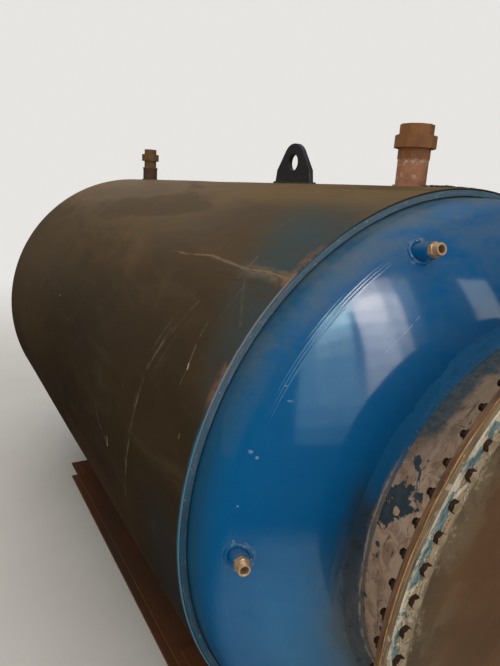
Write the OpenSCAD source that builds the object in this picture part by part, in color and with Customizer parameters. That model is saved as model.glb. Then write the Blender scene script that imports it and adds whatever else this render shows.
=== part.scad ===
// Horizontal hot-water boiler: an insulated cylinder with dished ends, a bolted round cover on
// the front head, pipe unions and a lifting lug on top, and two base rails with saddles.
// Millimetres. +Z is up and the front cover faces -Y. The origin is under the middle, on the floor.

/* [Tank] */
// Outside radius of the pressure barrel and its heads
barrel_radius = 678; // [640:1:700]
// Wall of the barrel
barrel_wall = 8; // [5:0.5:10]
// Wall of the dished heads
head_wall = 10; // [8:0.5:12]
// Length of the jacket from its front edge to its rear edge
jacket_length = 2260; // [2120:10:2600]
// Thickness of the insulation between barrel and jacket
insulation_thickness = 18.4; // [16:0.2:30]
// Thickness of the jacket sheet
jacket_sheet = 3; // [2:0.5:4]
// Width of the narrow front sheet
front_sheet_width = 305; // [290:5:340]
// Width of the middle sheet
middle_sheet_width = 1000; // [950:10:1050]
// Open joint between two jacket sheets
sheet_gap = 1.5; // [1:0.5:3]

/* [Dished heads] */
// Inside depth of the straight part in front of the jacket edge
head_straight = 33; // [28:1:40]
// How far each head reaches in behind the jacket edge
head_overlap = 30; // [25:1:45]
// Knuckle radius of the head
knuckle_radius = 78; // [70:1:90]
// Crown radius of the head
crown_radius = 1100; // [1060:10:1160]

/* [Neck and cover] */
// Outside radius of the neck
neck_radius = 428; // [420:1:436]
// Wall of the neck
neck_wall = 12; // [8:1:16]
// Distance of the flange's front face from the jacket's front edge
flange_projection = 405; // [395:1:430]
// Outside radius of the flange and cover
flange_radius = 566; // [562:1:576]
// Thickness of the neck flange
flange_thickness = 9; // [8:1:12]
// Thickness of the gasket
gasket_thickness = 3; // [2:0.5:5]
// Thickness of the cover plate
cover_thickness = 8; // [6:1:12]
// Thickness of the clamping ring on the cover
cover_ring_thickness = 3; // [2:0.5:5]
// Inside radius of the clamping ring
cover_ring_inner_radius = 524; // [518:1:530]
// Radius of the bolt circle
bolt_circle_radius = 547; // [544:1:549]
// Number of bolts
bolt_count = 72; // [60:4:76]
// Angle of the first bolt above the right side
first_bolt_angle = 1.3; // [0:0.1:4.9]
// Diameter of each bolt hole
bolt_hole_diameter = 14; // [11:0.5:15]
// Width of the weld ring where the neck meets the head
neck_weld_width = 30; // [20:1:34]
// Height of that weld ring up the neck
neck_weld_height = 10; // [6:1:16]

/* [Sensor sockets] */
// Distance of the sockets inwards from the barrel's outside
socket_inset = 50; // [45:1:60]
// Angle of the upper socket round the axis, from the right-hand side
upper_socket_angle = 115; // [108:1:125]
// Angle of the lower socket round the axis
lower_socket_angle = 178; // [170:1:185]
// Outward tilt of the sockets from the tank axis
socket_tilt = 14; // [8:1:20]
// Outside diameter of the steel socket
socket_diameter = 36; // [32:1:40]
// How far the upper steel socket stands out
upper_socket_height = 32; // [26:1:38]
// How far the lower steel socket stands out
lower_socket_height = 17; // [14:1:22]
// Across flats of the brass hexagon
brass_hexagon = 27; // [25:0.5:30]
// Height of the brass hexagon
brass_hexagon_height = 12; // [8:1:16]
// Diameter of the round brass end
brass_end_diameter = 24; // [20:0.5:25]
// Length of the round brass end
brass_end_length = 12; // [8:1:20]
// Bore of the brass fittings
brass_bore = 15; // [11:0.5:17]

/* [Outlet union] */
// Distance of the outlet from the jacket's front edge
outlet_position = 195; // [170:5:225]
// Outside diameter of the outlet stub
outlet_diameter = 76.1; // [70:0.1:80]
// Wall of the outlet and inlet stubs
stub_wall = 3.6; // [3:0.2:5]
// Height of the outlet stub above the jacket
outlet_height = 63; // [50:1:75]
// Across corners of the union's ten-sided lower body
outlet_body_corners = 80; // [79:0.5:86]
// Height of the union's lower body
outlet_body_height = 27; // [22:1:36]
// Across corners of the ten-sided union nut
outlet_nut_corners = 103; // [98:1:108]
// Height of the union nut
outlet_nut_height = 30; // [26:1:36]
// Across corners of the union's ten-sided tail
outlet_tail_corners = 84; // [82:0.5:90]
// Height of the union's tail above the nut
outlet_tail_height = 26; // [22:1:32]

/* [Inlet union] */
// Distance of the inlet from the jacket's rear edge
inlet_position = 190; // [170:2:210]
// Outside diameter of the inlet stub
inlet_diameter = 48.3; // [46:0.1:52]
// Diameter of the coupling on the stub
inlet_coupling_diameter = 73; // [68:1:78]
// Height of the coupling above the jacket
inlet_coupling_height = 61; // [54:1:70]
// Diameter of the union's lower body
inlet_body_diameter = 62; // [60:1:66]
// Height of the inlet union's body and of its nut
inlet_body_height = 33; // [28:1:38]
// Across corners of the ten-sided inlet union nut
inlet_nut_corners = 88; // [84:1:92]
// Height of the inlet union's tail above the nut
inlet_tail_height = 25; // [20:1:30]

/* [Lifting lug] */
// Distance of the lug from the jacket's front edge
lug_position = 715; // [640:5:800]
// Thickness of the lug
lug_thickness = 16; // [12:1:20]
// Width of the lug at the jacket
lug_width = 200; // [180:2:220]
// Width of the lug at its shoulders
lug_shoulder_width = 186; // [170:2:196]
// Height of the shoulders above the jacket
lug_shoulder_height = 41; // [34:1:48]
// Height of the eye's centre above the jacket
lug_eye_height = 65; // [60:1:72]
// Diameter of the eye
lug_eye_diameter = 52; // [44:1:60]
// Radius of the rounded top round the eye
lug_top_radius = 60; // [54:1:64]

/* [Base] */
// Clear height between the floor and the jacket
floor_clearance = 110; // [100:1:130]
// Distance of each rail's middle from the centre line
rail_offset = 460; // [440:2:480]
// Width of a rail
rail_width = 100; // [90:2:110]
// Height of a rail
rail_height = 80; // [70:1:90]
// Flange thickness of a rail
rail_flange = 8; // [6:0.5:10]
// Web thickness of a rail
rail_web = 6; // [5:0.5:8]
// Distance of the rail's front end from the jacket's front edge
rail_start = 140; // [100:5:200]
// Length of each rail
rail_length = 1640; // [1600:10:1800]
// Distance of the front saddle's middle from the rail's front end
front_saddle_inset = 240; // [230:5:280]
// Distance of the rear saddle's middle from the rail's rear end
rear_saddle_inset = 90; // [60:5:140]
// Width of a saddle's foot plate along the tank
saddle_width = 100; // [90:2:120]
// Thickness of saddle plates
saddle_plate = 12; // [8:1:14]
// Half width of the cradle on the barrel
cradle_half_width = 400; // [380:5:410]
// Thickness of the bars that join the rails
cross_bar_thickness = 8; // [6:1:10]

/* [Hidden] */
$fn = 96;
// clearance between two curved faces that touch
seat = 0.3;
// clearance round a piece that passes through the jacket
pass = 3;
insulation_inner_radius = barrel_radius + seat;
insulation_outer_radius = insulation_inner_radius + insulation_thickness;
jacket_inner_radius = insulation_outer_radius + seat;
jacket_radius = jacket_inner_radius + jacket_sheet;
axis_height = floor_clearance + jacket_radius;
socket_distance = barrel_radius - socket_inset;
crown_centre = head_straight - sqrt(pow(crown_radius - knuckle_radius, 2) - pow(barrel_radius - knuckle_radius, 2));
head_depth = crown_centre + crown_radius;
tangent_angle = asin((barrel_radius - knuckle_radius) / (crown_radius - knuckle_radius));
cover_face = flange_projection + gasket_thickness + cover_thickness + cover_ring_thickness;
total_length = cover_face + jacket_length + head_depth;
front_edge = cover_face - total_length / 2;
rear_edge = front_edge + jacket_length;
crown_steps = 14;
knuckle_steps = 12;
end_ring_recess = 4;
end_ring_plate = 8;
end_ring_lip = 8;
bolt_hole_fn = 20;
front_saddle_position = rail_start + front_saddle_inset;
rear_saddle_position = rail_start + rail_length - rear_saddle_inset;
// turn of the union nuts from square with the tank
union_turn = 21;
// further turn of the outlet union's lower body
body_turn = 12;
outlet_y = front_edge + outlet_position;
inlet_y = rear_edge - inlet_position;
lug_y = front_edge + lug_position;
stub_depth = 25;
floor_to_rail_top = rail_height;
// a small overrun that lets a cut pass right through
over = 1;

// Height of the dished surface in front of the jacket edge at a radius, for a wall set in by t.
function dish(r, t) =
    r <= (crown_radius - t) * sin(tangent_angle)
        ? crown_centre + sqrt(pow(crown_radius - t, 2) - r * r)
        : head_straight + sqrt(pow(knuckle_radius - t, 2) - pow(r - barrel_radius + knuckle_radius, 2));

// Points of the dished curve from a start radius out to the straight part.
function crown_points(start, t) =
    let (first = asin(start / (crown_radius - t)))
    [for (i = [0 : crown_steps - 1])
        let (a = first + (tangent_angle - first) * i / crown_steps)
        [(crown_radius - t) * sin(a), crown_centre + (crown_radius - t) * cos(a)]];

function knuckle_points(t) =
    [for (i = [0 : knuckle_steps])
        let (a = tangent_angle + (90 - tangent_angle) * i / knuckle_steps)
        [barrel_radius - knuckle_radius + (knuckle_radius - t) * sin(a),
            head_straight + (knuckle_radius - t) * cos(a)]];

function reversed(list) = [for (i = [len(list) - 1 : -1 : 0]) list[i]];

function head_profile(start) = concat(
    crown_points(start, 0),
    knuckle_points(0),
    [[barrel_radius, -head_overlap], [barrel_radius - head_wall, -head_overlap]],
    reversed(knuckle_points(head_wall)),
    reversed(crown_points(start, head_wall)));

// Local +Z points forwards out of the front edge of the jacket.
module at_front() {
    translate([0, front_edge, axis_height])
        rotate([90, 0, 0])
            children();
}

// Local +Z points backwards out of the rear edge of the jacket.
module at_rear() {
    translate([0, rear_edge, axis_height])
        rotate([-90, 0, 0])
            children();
}

// Places a piece square on the top of the tank axis at a distance along Y.
module on_top(y) {
    translate([0, y, axis_height])
        children();
}

// A tube round the tank axis between two distances behind the front edge.
module tank_tube(outer, inner, start, end) {
    translate([0, front_edge + start, axis_height])
        rotate([-90, 0, 0])
            difference() {
                cylinder(h = end - start, r = outer);
                translate([0, 0, -over])
                    cylinder(h = end - start + 2 * over, r = inner);
            }
}

// The two stubs, the lug and the saddles as blanks that cut the layers they pass through.
module stub_blanks(extra) {
    on_top(outlet_y)
        cylinder(h = jacket_radius + outlet_height, d = outlet_diameter + 2 * extra);
    on_top(inlet_y)
        cylinder(h = jacket_radius + outlet_height, d = inlet_diameter + 2 * extra);
}

module lug_blank() {
    on_top(lug_y)
        translate([-lug_thickness / 2 - pass, -lug_width / 2 - pass, 0])
            cube([lug_thickness + 2 * pass, lug_width + 2 * pass, jacket_radius + over]);
}

module saddle_blank(position) {
    translate([-cradle_half_width - pass, front_edge + position - saddle_width / 2 - pass, 0])
        cube([2 * (cradle_half_width + pass), saddle_width + 2 * pass, axis_height]);
}

module layer_cuts() {
    stub_blanks(pass);
    lug_blank();
    saddle_blank(front_saddle_position);
    saddle_blank(rear_saddle_position);
}

module bolt_holes(start, end) {
    for (i = [0 : bolt_count - 1])
        rotate([0, 0, first_bolt_angle + i * 360 / bolt_count])
            translate([bolt_circle_radius, 0, start - over])
                cylinder(h = end - start + 2 * over, d = bolt_hole_diameter, $fn = bolt_hole_fn);
}

// A flat ring round the tank axis with the bolt holes, between two distances in front of the edge.
module bolted_ring(outer, inner, start, end) {
    at_front()
        difference() {
            translate([0, 0, start])
                cylinder(h = end - start, r = outer);
            if (inner > 0)
                translate([0, 0, start - over])
                    cylinder(h = end - start + 2 * over, r = inner);
            bolt_holes(start, end);
        }
}

// Local +Z points out of a sensor socket, from the head's surface.
module at_socket(angle) {
    at_front()
        rotate([0, 0, angle])
            translate([socket_distance, 0, dish(socket_distance, 0)])
                rotate([0, socket_tilt, 0])
                    children();
}

module socket_blank(angle, extra, height) {
    at_socket(angle)
        translate([0, 0, -stub_depth])
            cylinder(h = stub_depth + height, d = socket_diameter + 2 * extra, $fn = 48);
}

module round_tube(height, outer, inner) {
    difference() {
        cylinder(h = height, d = outer, $fn = 64);
        translate([0, 0, -over])
            cylinder(h = height + 2 * over, d = inner, $fn = 64);
    }
}

// A bored hexagon whose corners are turned off at both ends.
module hexagon_tube(height, across_flats, inner) {
    flat = across_flats / 2;
    outside = flat / cos(30) + over;
    rise = (outside - flat) * tan(30);
    difference() {
        intersection() {
            cylinder(h = height, d = across_flats / cos(30), $fn = 6);
            rotate_extrude()
                polygon([[0, 0], [flat, 0], [outside, rise], [outside, height - rise], [flat, height], [0, height]]);
        }
        translate([0, 0, -over])
            cylinder(h = height + 2 * over, d = inner, $fn = 64);
    }
}

// A bored ten-sided part of a pipe union.
module ten_sided_tube(height, across_corners, inner) {
    difference() {
        cylinder(h = height, d = across_corners, $fn = 10);
        translate([0, 0, -over])
            cylinder(h = height + 2 * over, d = inner, $fn = 64);
    }
}

module barrel() {
    color([0.16, 0.3, 0.42])
        difference() {
            tank_tube(barrel_radius, barrel_radius - barrel_wall, head_overlap, jacket_length - head_overlap);
            stub_blanks(seat);
        }
}

module front_head() {
    color([0.03, 0.33, 0.56])
        difference() {
            at_front()
                rotate_extrude()
                    polygon(head_profile(neck_radius + seat));
            socket_blank(upper_socket_angle, seat, upper_socket_height);
            socket_blank(lower_socket_angle, seat, lower_socket_height);
        }
}

module rear_head() {
    color([0.03, 0.33, 0.56])
        at_rear()
            rotate_extrude()
                polygon(head_profile(0));
}

module insulation() {
    color([0.72, 0.66, 0.5])
        difference() {
            tank_tube(insulation_outer_radius, insulation_inner_radius,
                end_ring_recess + end_ring_plate, jacket_length - end_ring_recess - end_ring_plate);
            layer_cuts();
        }
}

module jacket_sheet_ring(start, end) {
    color([0.36, 0.31, 0.26])
        difference() {
            tank_tube(jacket_radius, jacket_inner_radius, start, end);
            layer_cuts();
        }
}

module front_jacket_sheet() {
    jacket_sheet_ring(0, front_sheet_width);
}

module middle_jacket_sheet() {
    jacket_sheet_ring(front_sheet_width + sheet_gap, front_sheet_width + middle_sheet_width);
}

module rear_jacket_sheet() {
    jacket_sheet_ring(front_sheet_width + middle_sheet_width + sheet_gap, jacket_length);
}

// An angle ring that closes the end of the insulation, with its lip facing outwards.
module end_ring() {
    middle = (insulation_outer_radius + insulation_inner_radius) / 2;
    rotate_extrude()
        polygon([
            [insulation_inner_radius, -end_ring_recess - end_ring_plate],
            [insulation_outer_radius, -end_ring_recess - end_ring_plate],
            [insulation_outer_radius, -end_ring_recess],
            [middle + end_ring_lip / 2, -end_ring_recess],
            [middle + end_ring_lip / 2, 0],
            [middle - end_ring_lip / 2, 0],
            [middle - end_ring_lip / 2, -end_ring_recess],
            [insulation_inner_radius, -end_ring_recess]]);
}

module front_end_ring() {
    color([0.08, 0.3, 0.45])
        at_front()
            end_ring();
}

module rear_end_ring() {
    color([0.08, 0.3, 0.45])
        at_rear()
            end_ring();
}

module neck() {
    start = dish(neck_radius, head_wall) - stub_depth;
    color([0.42, 0.34, 0.3])
        at_front()
            translate([0, 0, start])
                difference() {
                    cylinder(h = flange_projection - gasket_thickness - start, r = neck_radius);
                    translate([0, 0, -over])
                        cylinder(h = flange_projection - start, r = neck_radius - neck_wall);
                }
}

// A ring of weld metal that slopes from the head up the neck.
module neck_weld_ring() {
    inner = neck_radius + seat;
    color([0.2, 0.3, 0.36])
        at_front()
            rotate_extrude()
                polygon([
                    [inner, dish(inner, 0) + seat],
                    [inner + neck_weld_width / 2, dish(inner + neck_weld_width / 2, 0) + seat],
                    [inner + neck_weld_width, dish(inner + neck_weld_width, 0) + seat],
                    [inner + neck_weld_width / 3, dish(inner, 0) + 0.35 * neck_weld_height],
                    [inner, dish(inner, 0) + neck_weld_height]]);
}

module neck_flange() {
    color([0.33, 0.24, 0.2])
        bolted_ring(flange_radius, neck_radius + seat, flange_projection - flange_thickness, flange_projection);
}

module cover_gasket() {
    color([0.66, 0.46, 0.28])
        bolted_ring(flange_radius, neck_radius, flange_projection, flange_projection + gasket_thickness);
}

module cover_plate() {
    start = flange_projection + gasket_thickness;
    color([0.42, 0.3, 0.22])
        bolted_ring(flange_radius, 0, start, start + cover_thickness);
}

module cover_ring() {
    color([0.6, 0.55, 0.47])
        bolted_ring(flange_radius, cover_ring_inner_radius, cover_face - cover_ring_thickness, cover_face);
}

module socket(angle, height) {
    color([0.03, 0.33, 0.56])
        difference() {
            socket_blank(angle, 0, height);
            at_socket(angle)
                translate([0, 0, -stub_depth - over])
                    cylinder(h = stub_depth + height + 2 * over, d = brass_bore + 2 * seat, $fn = 48);
        }
}

module brass_fitting(angle, height, hexagon) {
    color([0.72, 0.55, 0.3])
        at_socket(angle)
            translate([0, 0, height]) {
                hexagon_tube(hexagon, brass_hexagon, brass_bore);
                translate([0, 0, hexagon])
                    round_tube(brass_end_length, brass_end_diameter, brass_bore);
            }
}

module upper_socket() {
    socket(upper_socket_angle, upper_socket_height);
}

module upper_brass_fitting() {
    brass_fitting(upper_socket_angle, upper_socket_height, brass_hexagon_height);
}

module lower_socket() {
    socket(lower_socket_angle, lower_socket_height);
}

module lower_brass_fitting() {
    brass_fitting(lower_socket_angle, lower_socket_height, brass_hexagon_height);
}

module outlet_stub() {
    bottom = barrel_radius - stub_depth;
    color([0.55, 0.28, 0.2])
        on_top(outlet_y)
            translate([0, 0, bottom])
                round_tube(jacket_radius + outlet_height - bottom, outlet_diameter,
                    outlet_diameter - 2 * stub_wall);
}

module outlet_union_body() {
    color([0.5, 0.25, 0.17])
        on_top(outlet_y)
            translate([0, 0, jacket_radius + outlet_height])
                rotate([0, 0, union_turn + body_turn])
                    ten_sided_tube(outlet_body_height, outlet_body_corners, outlet_diameter - 2 * stub_wall);
}

module outlet_union_nut() {
    color([0.5, 0.25, 0.17])
        on_top(outlet_y)
            translate([0, 0, jacket_radius + outlet_height + outlet_body_height])
                rotate([0, 0, union_turn])
                    ten_sided_tube(outlet_nut_height, outlet_nut_corners, outlet_diameter);
}

module outlet_union_tail() {
    color([0.5, 0.25, 0.17])
        on_top(outlet_y)
            translate([0, 0, jacket_radius + outlet_height + outlet_body_height + outlet_nut_height])
                rotate([0, 0, union_turn])
                    ten_sided_tube(outlet_tail_height, outlet_tail_corners, outlet_diameter);
}

module inlet_stub() {
    bottom = barrel_radius - stub_depth;
    color([0.35, 0.24, 0.25])
        on_top(inlet_y)
            translate([0, 0, bottom])
                round_tube(jacket_radius + inlet_coupling_height - bottom, inlet_diameter,
                    inlet_diameter - 2 * stub_wall);
}

module inlet_coupling() {
    color([0.35, 0.24, 0.25])
        on_top(inlet_y)
            translate([0, 0, jacket_radius])
                round_tube(inlet_coupling_height, inlet_coupling_diameter, inlet_diameter + 2 * seat);
}

module inlet_union_body() {
    color([0.36, 0.26, 0.24])
        on_top(inlet_y)
            translate([0, 0, jacket_radius + inlet_coupling_height])
                round_tube(inlet_body_height, inlet_body_diameter, inlet_diameter - 2 * stub_wall);
}

module inlet_union_nut() {
    color([0.36, 0.26, 0.24])
        on_top(inlet_y)
            translate([0, 0, jacket_radius + inlet_coupling_height + inlet_body_height])
                rotate([0, 0, union_turn])
                    ten_sided_tube(inlet_body_height, inlet_nut_corners, inlet_diameter);
}

module inlet_union_tail() {
    color([0.36, 0.26, 0.24])
        on_top(inlet_y)
            translate([0, 0, jacket_radius + inlet_coupling_height + 2 * inlet_body_height])
                round_tube(inlet_tail_height, inlet_body_diameter, inlet_diameter);
}

// The lug stands on the barrel and passes up through the jacket. Its sides run from the
// shoulders to the rounded top along the tangents of that circle.
module lifting_lug() {
    reach = sqrt(pow(lug_shoulder_width / 2, 2) + pow(lug_eye_height - lug_shoulder_height, 2));
    slope = atan2(lug_shoulder_height - lug_eye_height, lug_shoulder_width / 2) + acos(lug_top_radius / reach);
    foot = insulation_inner_radius - jacket_radius;
    touch = [lug_top_radius * cos(slope), lug_eye_height + lug_top_radius * sin(slope)];
    color([0.09, 0.11, 0.16])
        on_top(lug_y)
            translate([-lug_thickness / 2, 0, jacket_radius])
                rotate([90, 0, 90])
                    linear_extrude(height = lug_thickness)
                        difference() {
                            union() {
                                polygon([
                                    [-lug_width / 2, foot],
                                    [lug_width / 2, foot],
                                    [lug_width / 2, 0],
                                    [lug_shoulder_width / 2, lug_shoulder_height],
                                    touch,
                                    [-touch[0], touch[1]],
                                    [-lug_shoulder_width / 2, lug_shoulder_height],
                                    [-lug_width / 2, 0]]);
                                translate([0, lug_eye_height])
                                    circle(r = lug_top_radius);
                            }
                            translate([0, lug_eye_height])
                                circle(d = lug_eye_diameter);
                        }
}

module rail(x) {
    color([0.4, 0.22, 0.17])
        translate([x, front_edge + rail_start, 0]) {
            translate([-rail_width / 2, 0, 0])
                cube([rail_width, rail_length, rail_flange]);
            translate([-rail_web / 2, 0, 0])
                cube([rail_web, rail_length, rail_height]);
            translate([-rail_width / 2, 0, rail_height - rail_flange])
                cube([rail_width, rail_length, rail_flange]);
        }
}

module left_rail() {
    rail(-rail_offset);
}

module right_rail() {
    rail(rail_offset);
}

// A curved plate on the underside of the barrel, in the opening of the jacket.
module wear_plate(position) {
    color([0.3, 0.2, 0.16])
        intersection() {
            tank_tube(insulation_inner_radius + saddle_plate, insulation_inner_radius,
                position - saddle_width / 2, position + saddle_width / 2);
            translate([-cradle_half_width, front_edge + position - saddle_width, 0])
                cube([2 * cradle_half_width, 2 * saddle_width, axis_height]);
        }
}

// The upright cradle between the wear plate and the foot: one web with four ribs.
module saddle(position) {
    bottom = floor_to_rail_top + saddle_plate;
    half_foot = rail_offset - rail_width / 4;
    top = axis_height - sqrt(pow(barrel_radius, 2) - pow(cradle_half_width, 2));
    color([0.3, 0.2, 0.16])
        difference() {
            union() {
                translate([0, front_edge + position + saddle_plate / 2, 0])
                    rotate([90, 0, 0])
                        linear_extrude(height = saddle_plate)
                            polygon([[-half_foot, bottom], [half_foot, bottom],
                                [cradle_half_width, top], [-cradle_half_width, top]]);
                for (x = [-1, -1 / 3, 1 / 3, 1])
                    translate([x * (cradle_half_width - saddle_plate) - saddle_plate / 2,
                            front_edge + position - saddle_width / 2, bottom])
                        cube([saddle_plate, saddle_width, top - bottom]);
            }
            translate([0, front_edge + position - saddle_width, axis_height])
                rotate([-90, 0, 0])
                    cylinder(h = 2 * saddle_width, r = insulation_inner_radius + saddle_plate + seat);
        }
}

module saddle_foot(position) {
    half_foot = rail_offset + rail_width / 4;
    color([0.36, 0.22, 0.17])
        translate([-half_foot, front_edge + position - saddle_width / 2, floor_to_rail_top])
            cube([2 * half_foot, saddle_width, saddle_plate]);
}

module front_saddle() {
    saddle(front_saddle_position);
}

module rear_saddle() {
    saddle(rear_saddle_position);
}

module front_saddle_foot() {
    saddle_foot(front_saddle_position);
}

module rear_saddle_foot() {
    saddle_foot(rear_saddle_position);
}

module front_wear_plate() {
    wear_plate(front_saddle_position);
}

module rear_wear_plate() {
    wear_plate(rear_saddle_position);
}

// A flat bar on the floor that joins the two rails between their webs.
module cross_bar(start) {
    inner = rail_offset - rail_width / 2;
    color([0.4, 0.22, 0.17])
        translate([-inner, front_edge + start, 0])
            cube([2 * inner, saddle_width, cross_bar_thickness]);
}

module front_cross_bar() {
    cross_bar(rail_start);
}

module rear_cross_bar() {
    cross_bar(rail_start + rail_length - saddle_width);
}

barrel();
front_head();
rear_head();
insulation();
front_jacket_sheet();
middle_jacket_sheet();
rear_jacket_sheet();
front_end_ring();
rear_end_ring();
neck();
neck_weld_ring();
neck_flange();
cover_gasket();
cover_plate();
cover_ring();
upper_socket();
upper_brass_fitting();
lower_socket();
lower_brass_fitting();
outlet_stub();
outlet_union_body();
outlet_union_nut();
outlet_union_tail();
inlet_stub();
inlet_coupling();
inlet_union_body();
inlet_union_nut();
inlet_union_tail();
lifting_lug();
left_rail();
right_rail();
front_saddle();
rear_saddle();
front_saddle_foot();
rear_saddle_foot();
front_wear_plate();
rear_wear_plate();
front_cross_bar();
rear_cross_bar();
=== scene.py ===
import math
from functools import reduce

import bpy
import numpy as np
from bpy.props import FloatProperty, FloatVectorProperty, IntProperty, PointerProperty
from mathutils import Matrix, Vector
from mathutils import noise as unevenness
from mathutils.geometry import tessellate_polygon


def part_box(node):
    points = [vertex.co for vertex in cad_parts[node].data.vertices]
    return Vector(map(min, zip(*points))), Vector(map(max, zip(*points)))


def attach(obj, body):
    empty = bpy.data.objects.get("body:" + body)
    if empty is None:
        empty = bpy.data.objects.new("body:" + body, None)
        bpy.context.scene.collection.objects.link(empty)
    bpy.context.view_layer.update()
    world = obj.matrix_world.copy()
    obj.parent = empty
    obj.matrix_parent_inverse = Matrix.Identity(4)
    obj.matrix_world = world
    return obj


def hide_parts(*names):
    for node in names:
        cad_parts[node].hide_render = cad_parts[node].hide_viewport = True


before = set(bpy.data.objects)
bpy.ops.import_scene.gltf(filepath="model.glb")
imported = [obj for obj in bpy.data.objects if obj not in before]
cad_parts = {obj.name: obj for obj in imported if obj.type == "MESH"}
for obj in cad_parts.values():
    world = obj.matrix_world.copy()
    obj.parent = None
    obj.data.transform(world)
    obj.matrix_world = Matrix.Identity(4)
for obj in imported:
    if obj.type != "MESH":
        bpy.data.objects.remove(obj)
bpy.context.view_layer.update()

bl_info = {
    "name": "Horizontal Boiler",
    "version": (1, 0, 0),
    "blender": (4, 5, 0),
    "location": "3D View > Sidebar > Boiler",
    "description": "Visible pieces, finishes and studio of a horizontal hot-water boiler",
    "category": "Object",
}


def half_width(node):
    """Half of a node's width, which is the radius of a round one."""
    low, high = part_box(node)
    return (high.x - low.x) / 2


def front_and_rear(node):
    """Where a node starts and ends along the tank."""
    low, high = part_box(node)
    return low.y, high.y


def middle(node):
    """The centre of a node's box."""
    low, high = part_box(node)
    return (low + high) / 2


# Places that the pieces share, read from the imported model. All lengths are in metres.
FRONT_EDGE = front_and_rear("front_jacket_sheet")[0]
REAR_EDGE = front_and_rear("rear_jacket_sheet")[1]
AXIS_HEIGHT = middle("rear_head").z
JACKET_RADIUS = half_width("middle_jacket_sheet")
HEAD_RADIUS = half_width("rear_head")
NECK_RADIUS = half_width("neck")
FLANGE_RADIUS = half_width("neck_flange")
COVER_FACE = front_and_rear("cover_ring")[0]
TANK_TOP = AXIS_HEIGHT + JACKET_RADIUS
# The round radii in which marks are laid out; the model's facets make the measured ones a little smaller.
JACKET_LAYOUT, FLANGE_LAYOUT = 0.7, 0.566

# Local +Z of a piece made in the front frame points forwards out of the jacket's front edge.
FRONT = Matrix(((1, 0, 0, 0), (0, 0, -1, FRONT_EDGE), (0, 1, 0, AXIS_HEIGHT), (0, 0, 0, 1)))
REAR = Matrix(((1, 0, 0, 0), (0, 0, 1, REAR_EDGE), (0, -1, 0, AXIS_HEIGHT), (0, 0, 0, 1)))


def ahead_of_edge(node):
    """How far in front of the jacket's front edge the rear and the front of a node are."""
    front, rear = front_and_rear(node)
    return FRONT_EDGE - rear, FRONT_EDGE - front


# Sizes and colours


class TankSizes(bpy.types.PropertyGroup):
    """Sizes of the tank's shell that show in the finish."""

    sheet: FloatProperty(
        name="Jacket sheet", description="Thickness of the jacket sheet", default=0.003, unit="LENGTH")
    lap: FloatProperty(
        name="Lap", description="Width of the lap where a sheet closes on itself", default=0.034,
        unit="LENGTH")
    seam_angle: FloatProperty(
        name="Seam angle", description="Place of the lap round the tank", default=math.radians(131.5),
        subtype="ANGLE")
    head_straight: FloatProperty(
        name="Straight", description="Straight part of the dished head", default=0.033, unit="LENGTH")
    knuckle: FloatProperty(
        name="Knuckle", description="Knuckle radius of the dished head", default=0.078, unit="LENGTH")
    crown: FloatProperty(
        name="Crown", description="Crown radius of the dished head", default=1.1, unit="LENGTH")
    unevenness: FloatProperty(
        name="Unevenness", description="Depth of the hollows left by forming the sheets", default=0.0012,
        unit="LENGTH")


class BoltSizes(bpy.types.PropertyGroup):
    """Sizes of the cover's bolts."""

    count: IntProperty(name="Bolts", description="Number of bolts round the cover", default=72, min=8)
    circle: FloatProperty(
        name="Bolt circle", description="Radius of the bolt circle", default=0.547, unit="LENGTH")
    across_flats: FloatProperty(
        name="Across flats", description="Width of a nut across its flats", default=0.017, unit="LENGTH")
    nut_height: FloatProperty(name="Nut height", description="Height of a nut", default=0.009, unit="LENGTH")
    stud_end: FloatProperty(
        name="Stud end", description="Thread standing out of the nut behind the flange", default=0.0085,
        unit="LENGTH")
    first_angle: FloatProperty(
        name="First bolt", description="Angle of the first bolt above the right side",
        default=math.radians(1.3), subtype="ANGLE")
    diameter: FloatProperty(
        name="Thread", description="Diameter of the thread", default=0.012, unit="LENGTH")


class PaintColours(bpy.types.PropertyGroup):
    """Colours of the boiler's finishes."""

    enamel: FloatVectorProperty(
        name="Enamel", description="Blue enamel of the heads", default=(0.001, 0.103, 0.285), subtype="COLOR")
    jacket: FloatVectorProperty(
        name="Jacket", description="Brown jacket paint", default=(0.05, 0.031, 0.0135), subtype="COLOR")
    dust: FloatVectorProperty(
        name="Dust", description="Dust lying on top", default=(0.235, 0.148, 0.064), subtype="COLOR")
    rust: FloatVectorProperty(
        name="Rust", description="Orange rust of the seams", default=(0.26, 0.125, 0.075), subtype="COLOR")
    old_paint: FloatVectorProperty(
        name="Old paint", description="Beige paint of the neck", default=(0.54, 0.385, 0.27), subtype="COLOR")
    cream: FloatVectorProperty(
        name="Cream paint", description="Peeling cream paint of the cover", default=(0.56, 0.49, 0.36),
        subtype="COLOR")
    brown: FloatVectorProperty(
        name="Smooth rust", description="Smooth brown rust of the cover", default=(0.158, 0.08, 0.034),
        subtype="COLOR")
    brass: FloatVectorProperty(
        name="Brass", description="Tarnished brass", default=(0.6, 0.4, 0.235), subtype="COLOR")
    pipe: FloatVectorProperty(
        name="Rusty pipe", description="Red-brown rust of the outlet", default=(0.27, 0.115, 0.045),
        subtype="COLOR")
    dark_pipe: FloatVectorProperty(
        name="Dark pipe", description="Dull brown of the inlet", default=(
            0.21, 0.105, 0.034), subtype="COLOR")
    lug: FloatVectorProperty(
        name="Lug", description="Dark enamel of the lug", default=(0.018, 0.016, 0.022), subtype="COLOR")
    primer: FloatVectorProperty(
        name="Primer", description="Red-brown primer of the base", default=(0.12, 0.042, 0.015),
        subtype="COLOR")


def tank_sizes():
    """The tank's sizes of this scene."""
    return bpy.context.scene.boiler_tank


def bolt_sizes():
    """The bolts' sizes of this scene."""
    return bpy.context.scene.boiler_bolts


def paint(name):
    """A colour of the finishes by its name."""
    return tuple(getattr(bpy.context.scene.boiler_paints, name))


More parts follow.
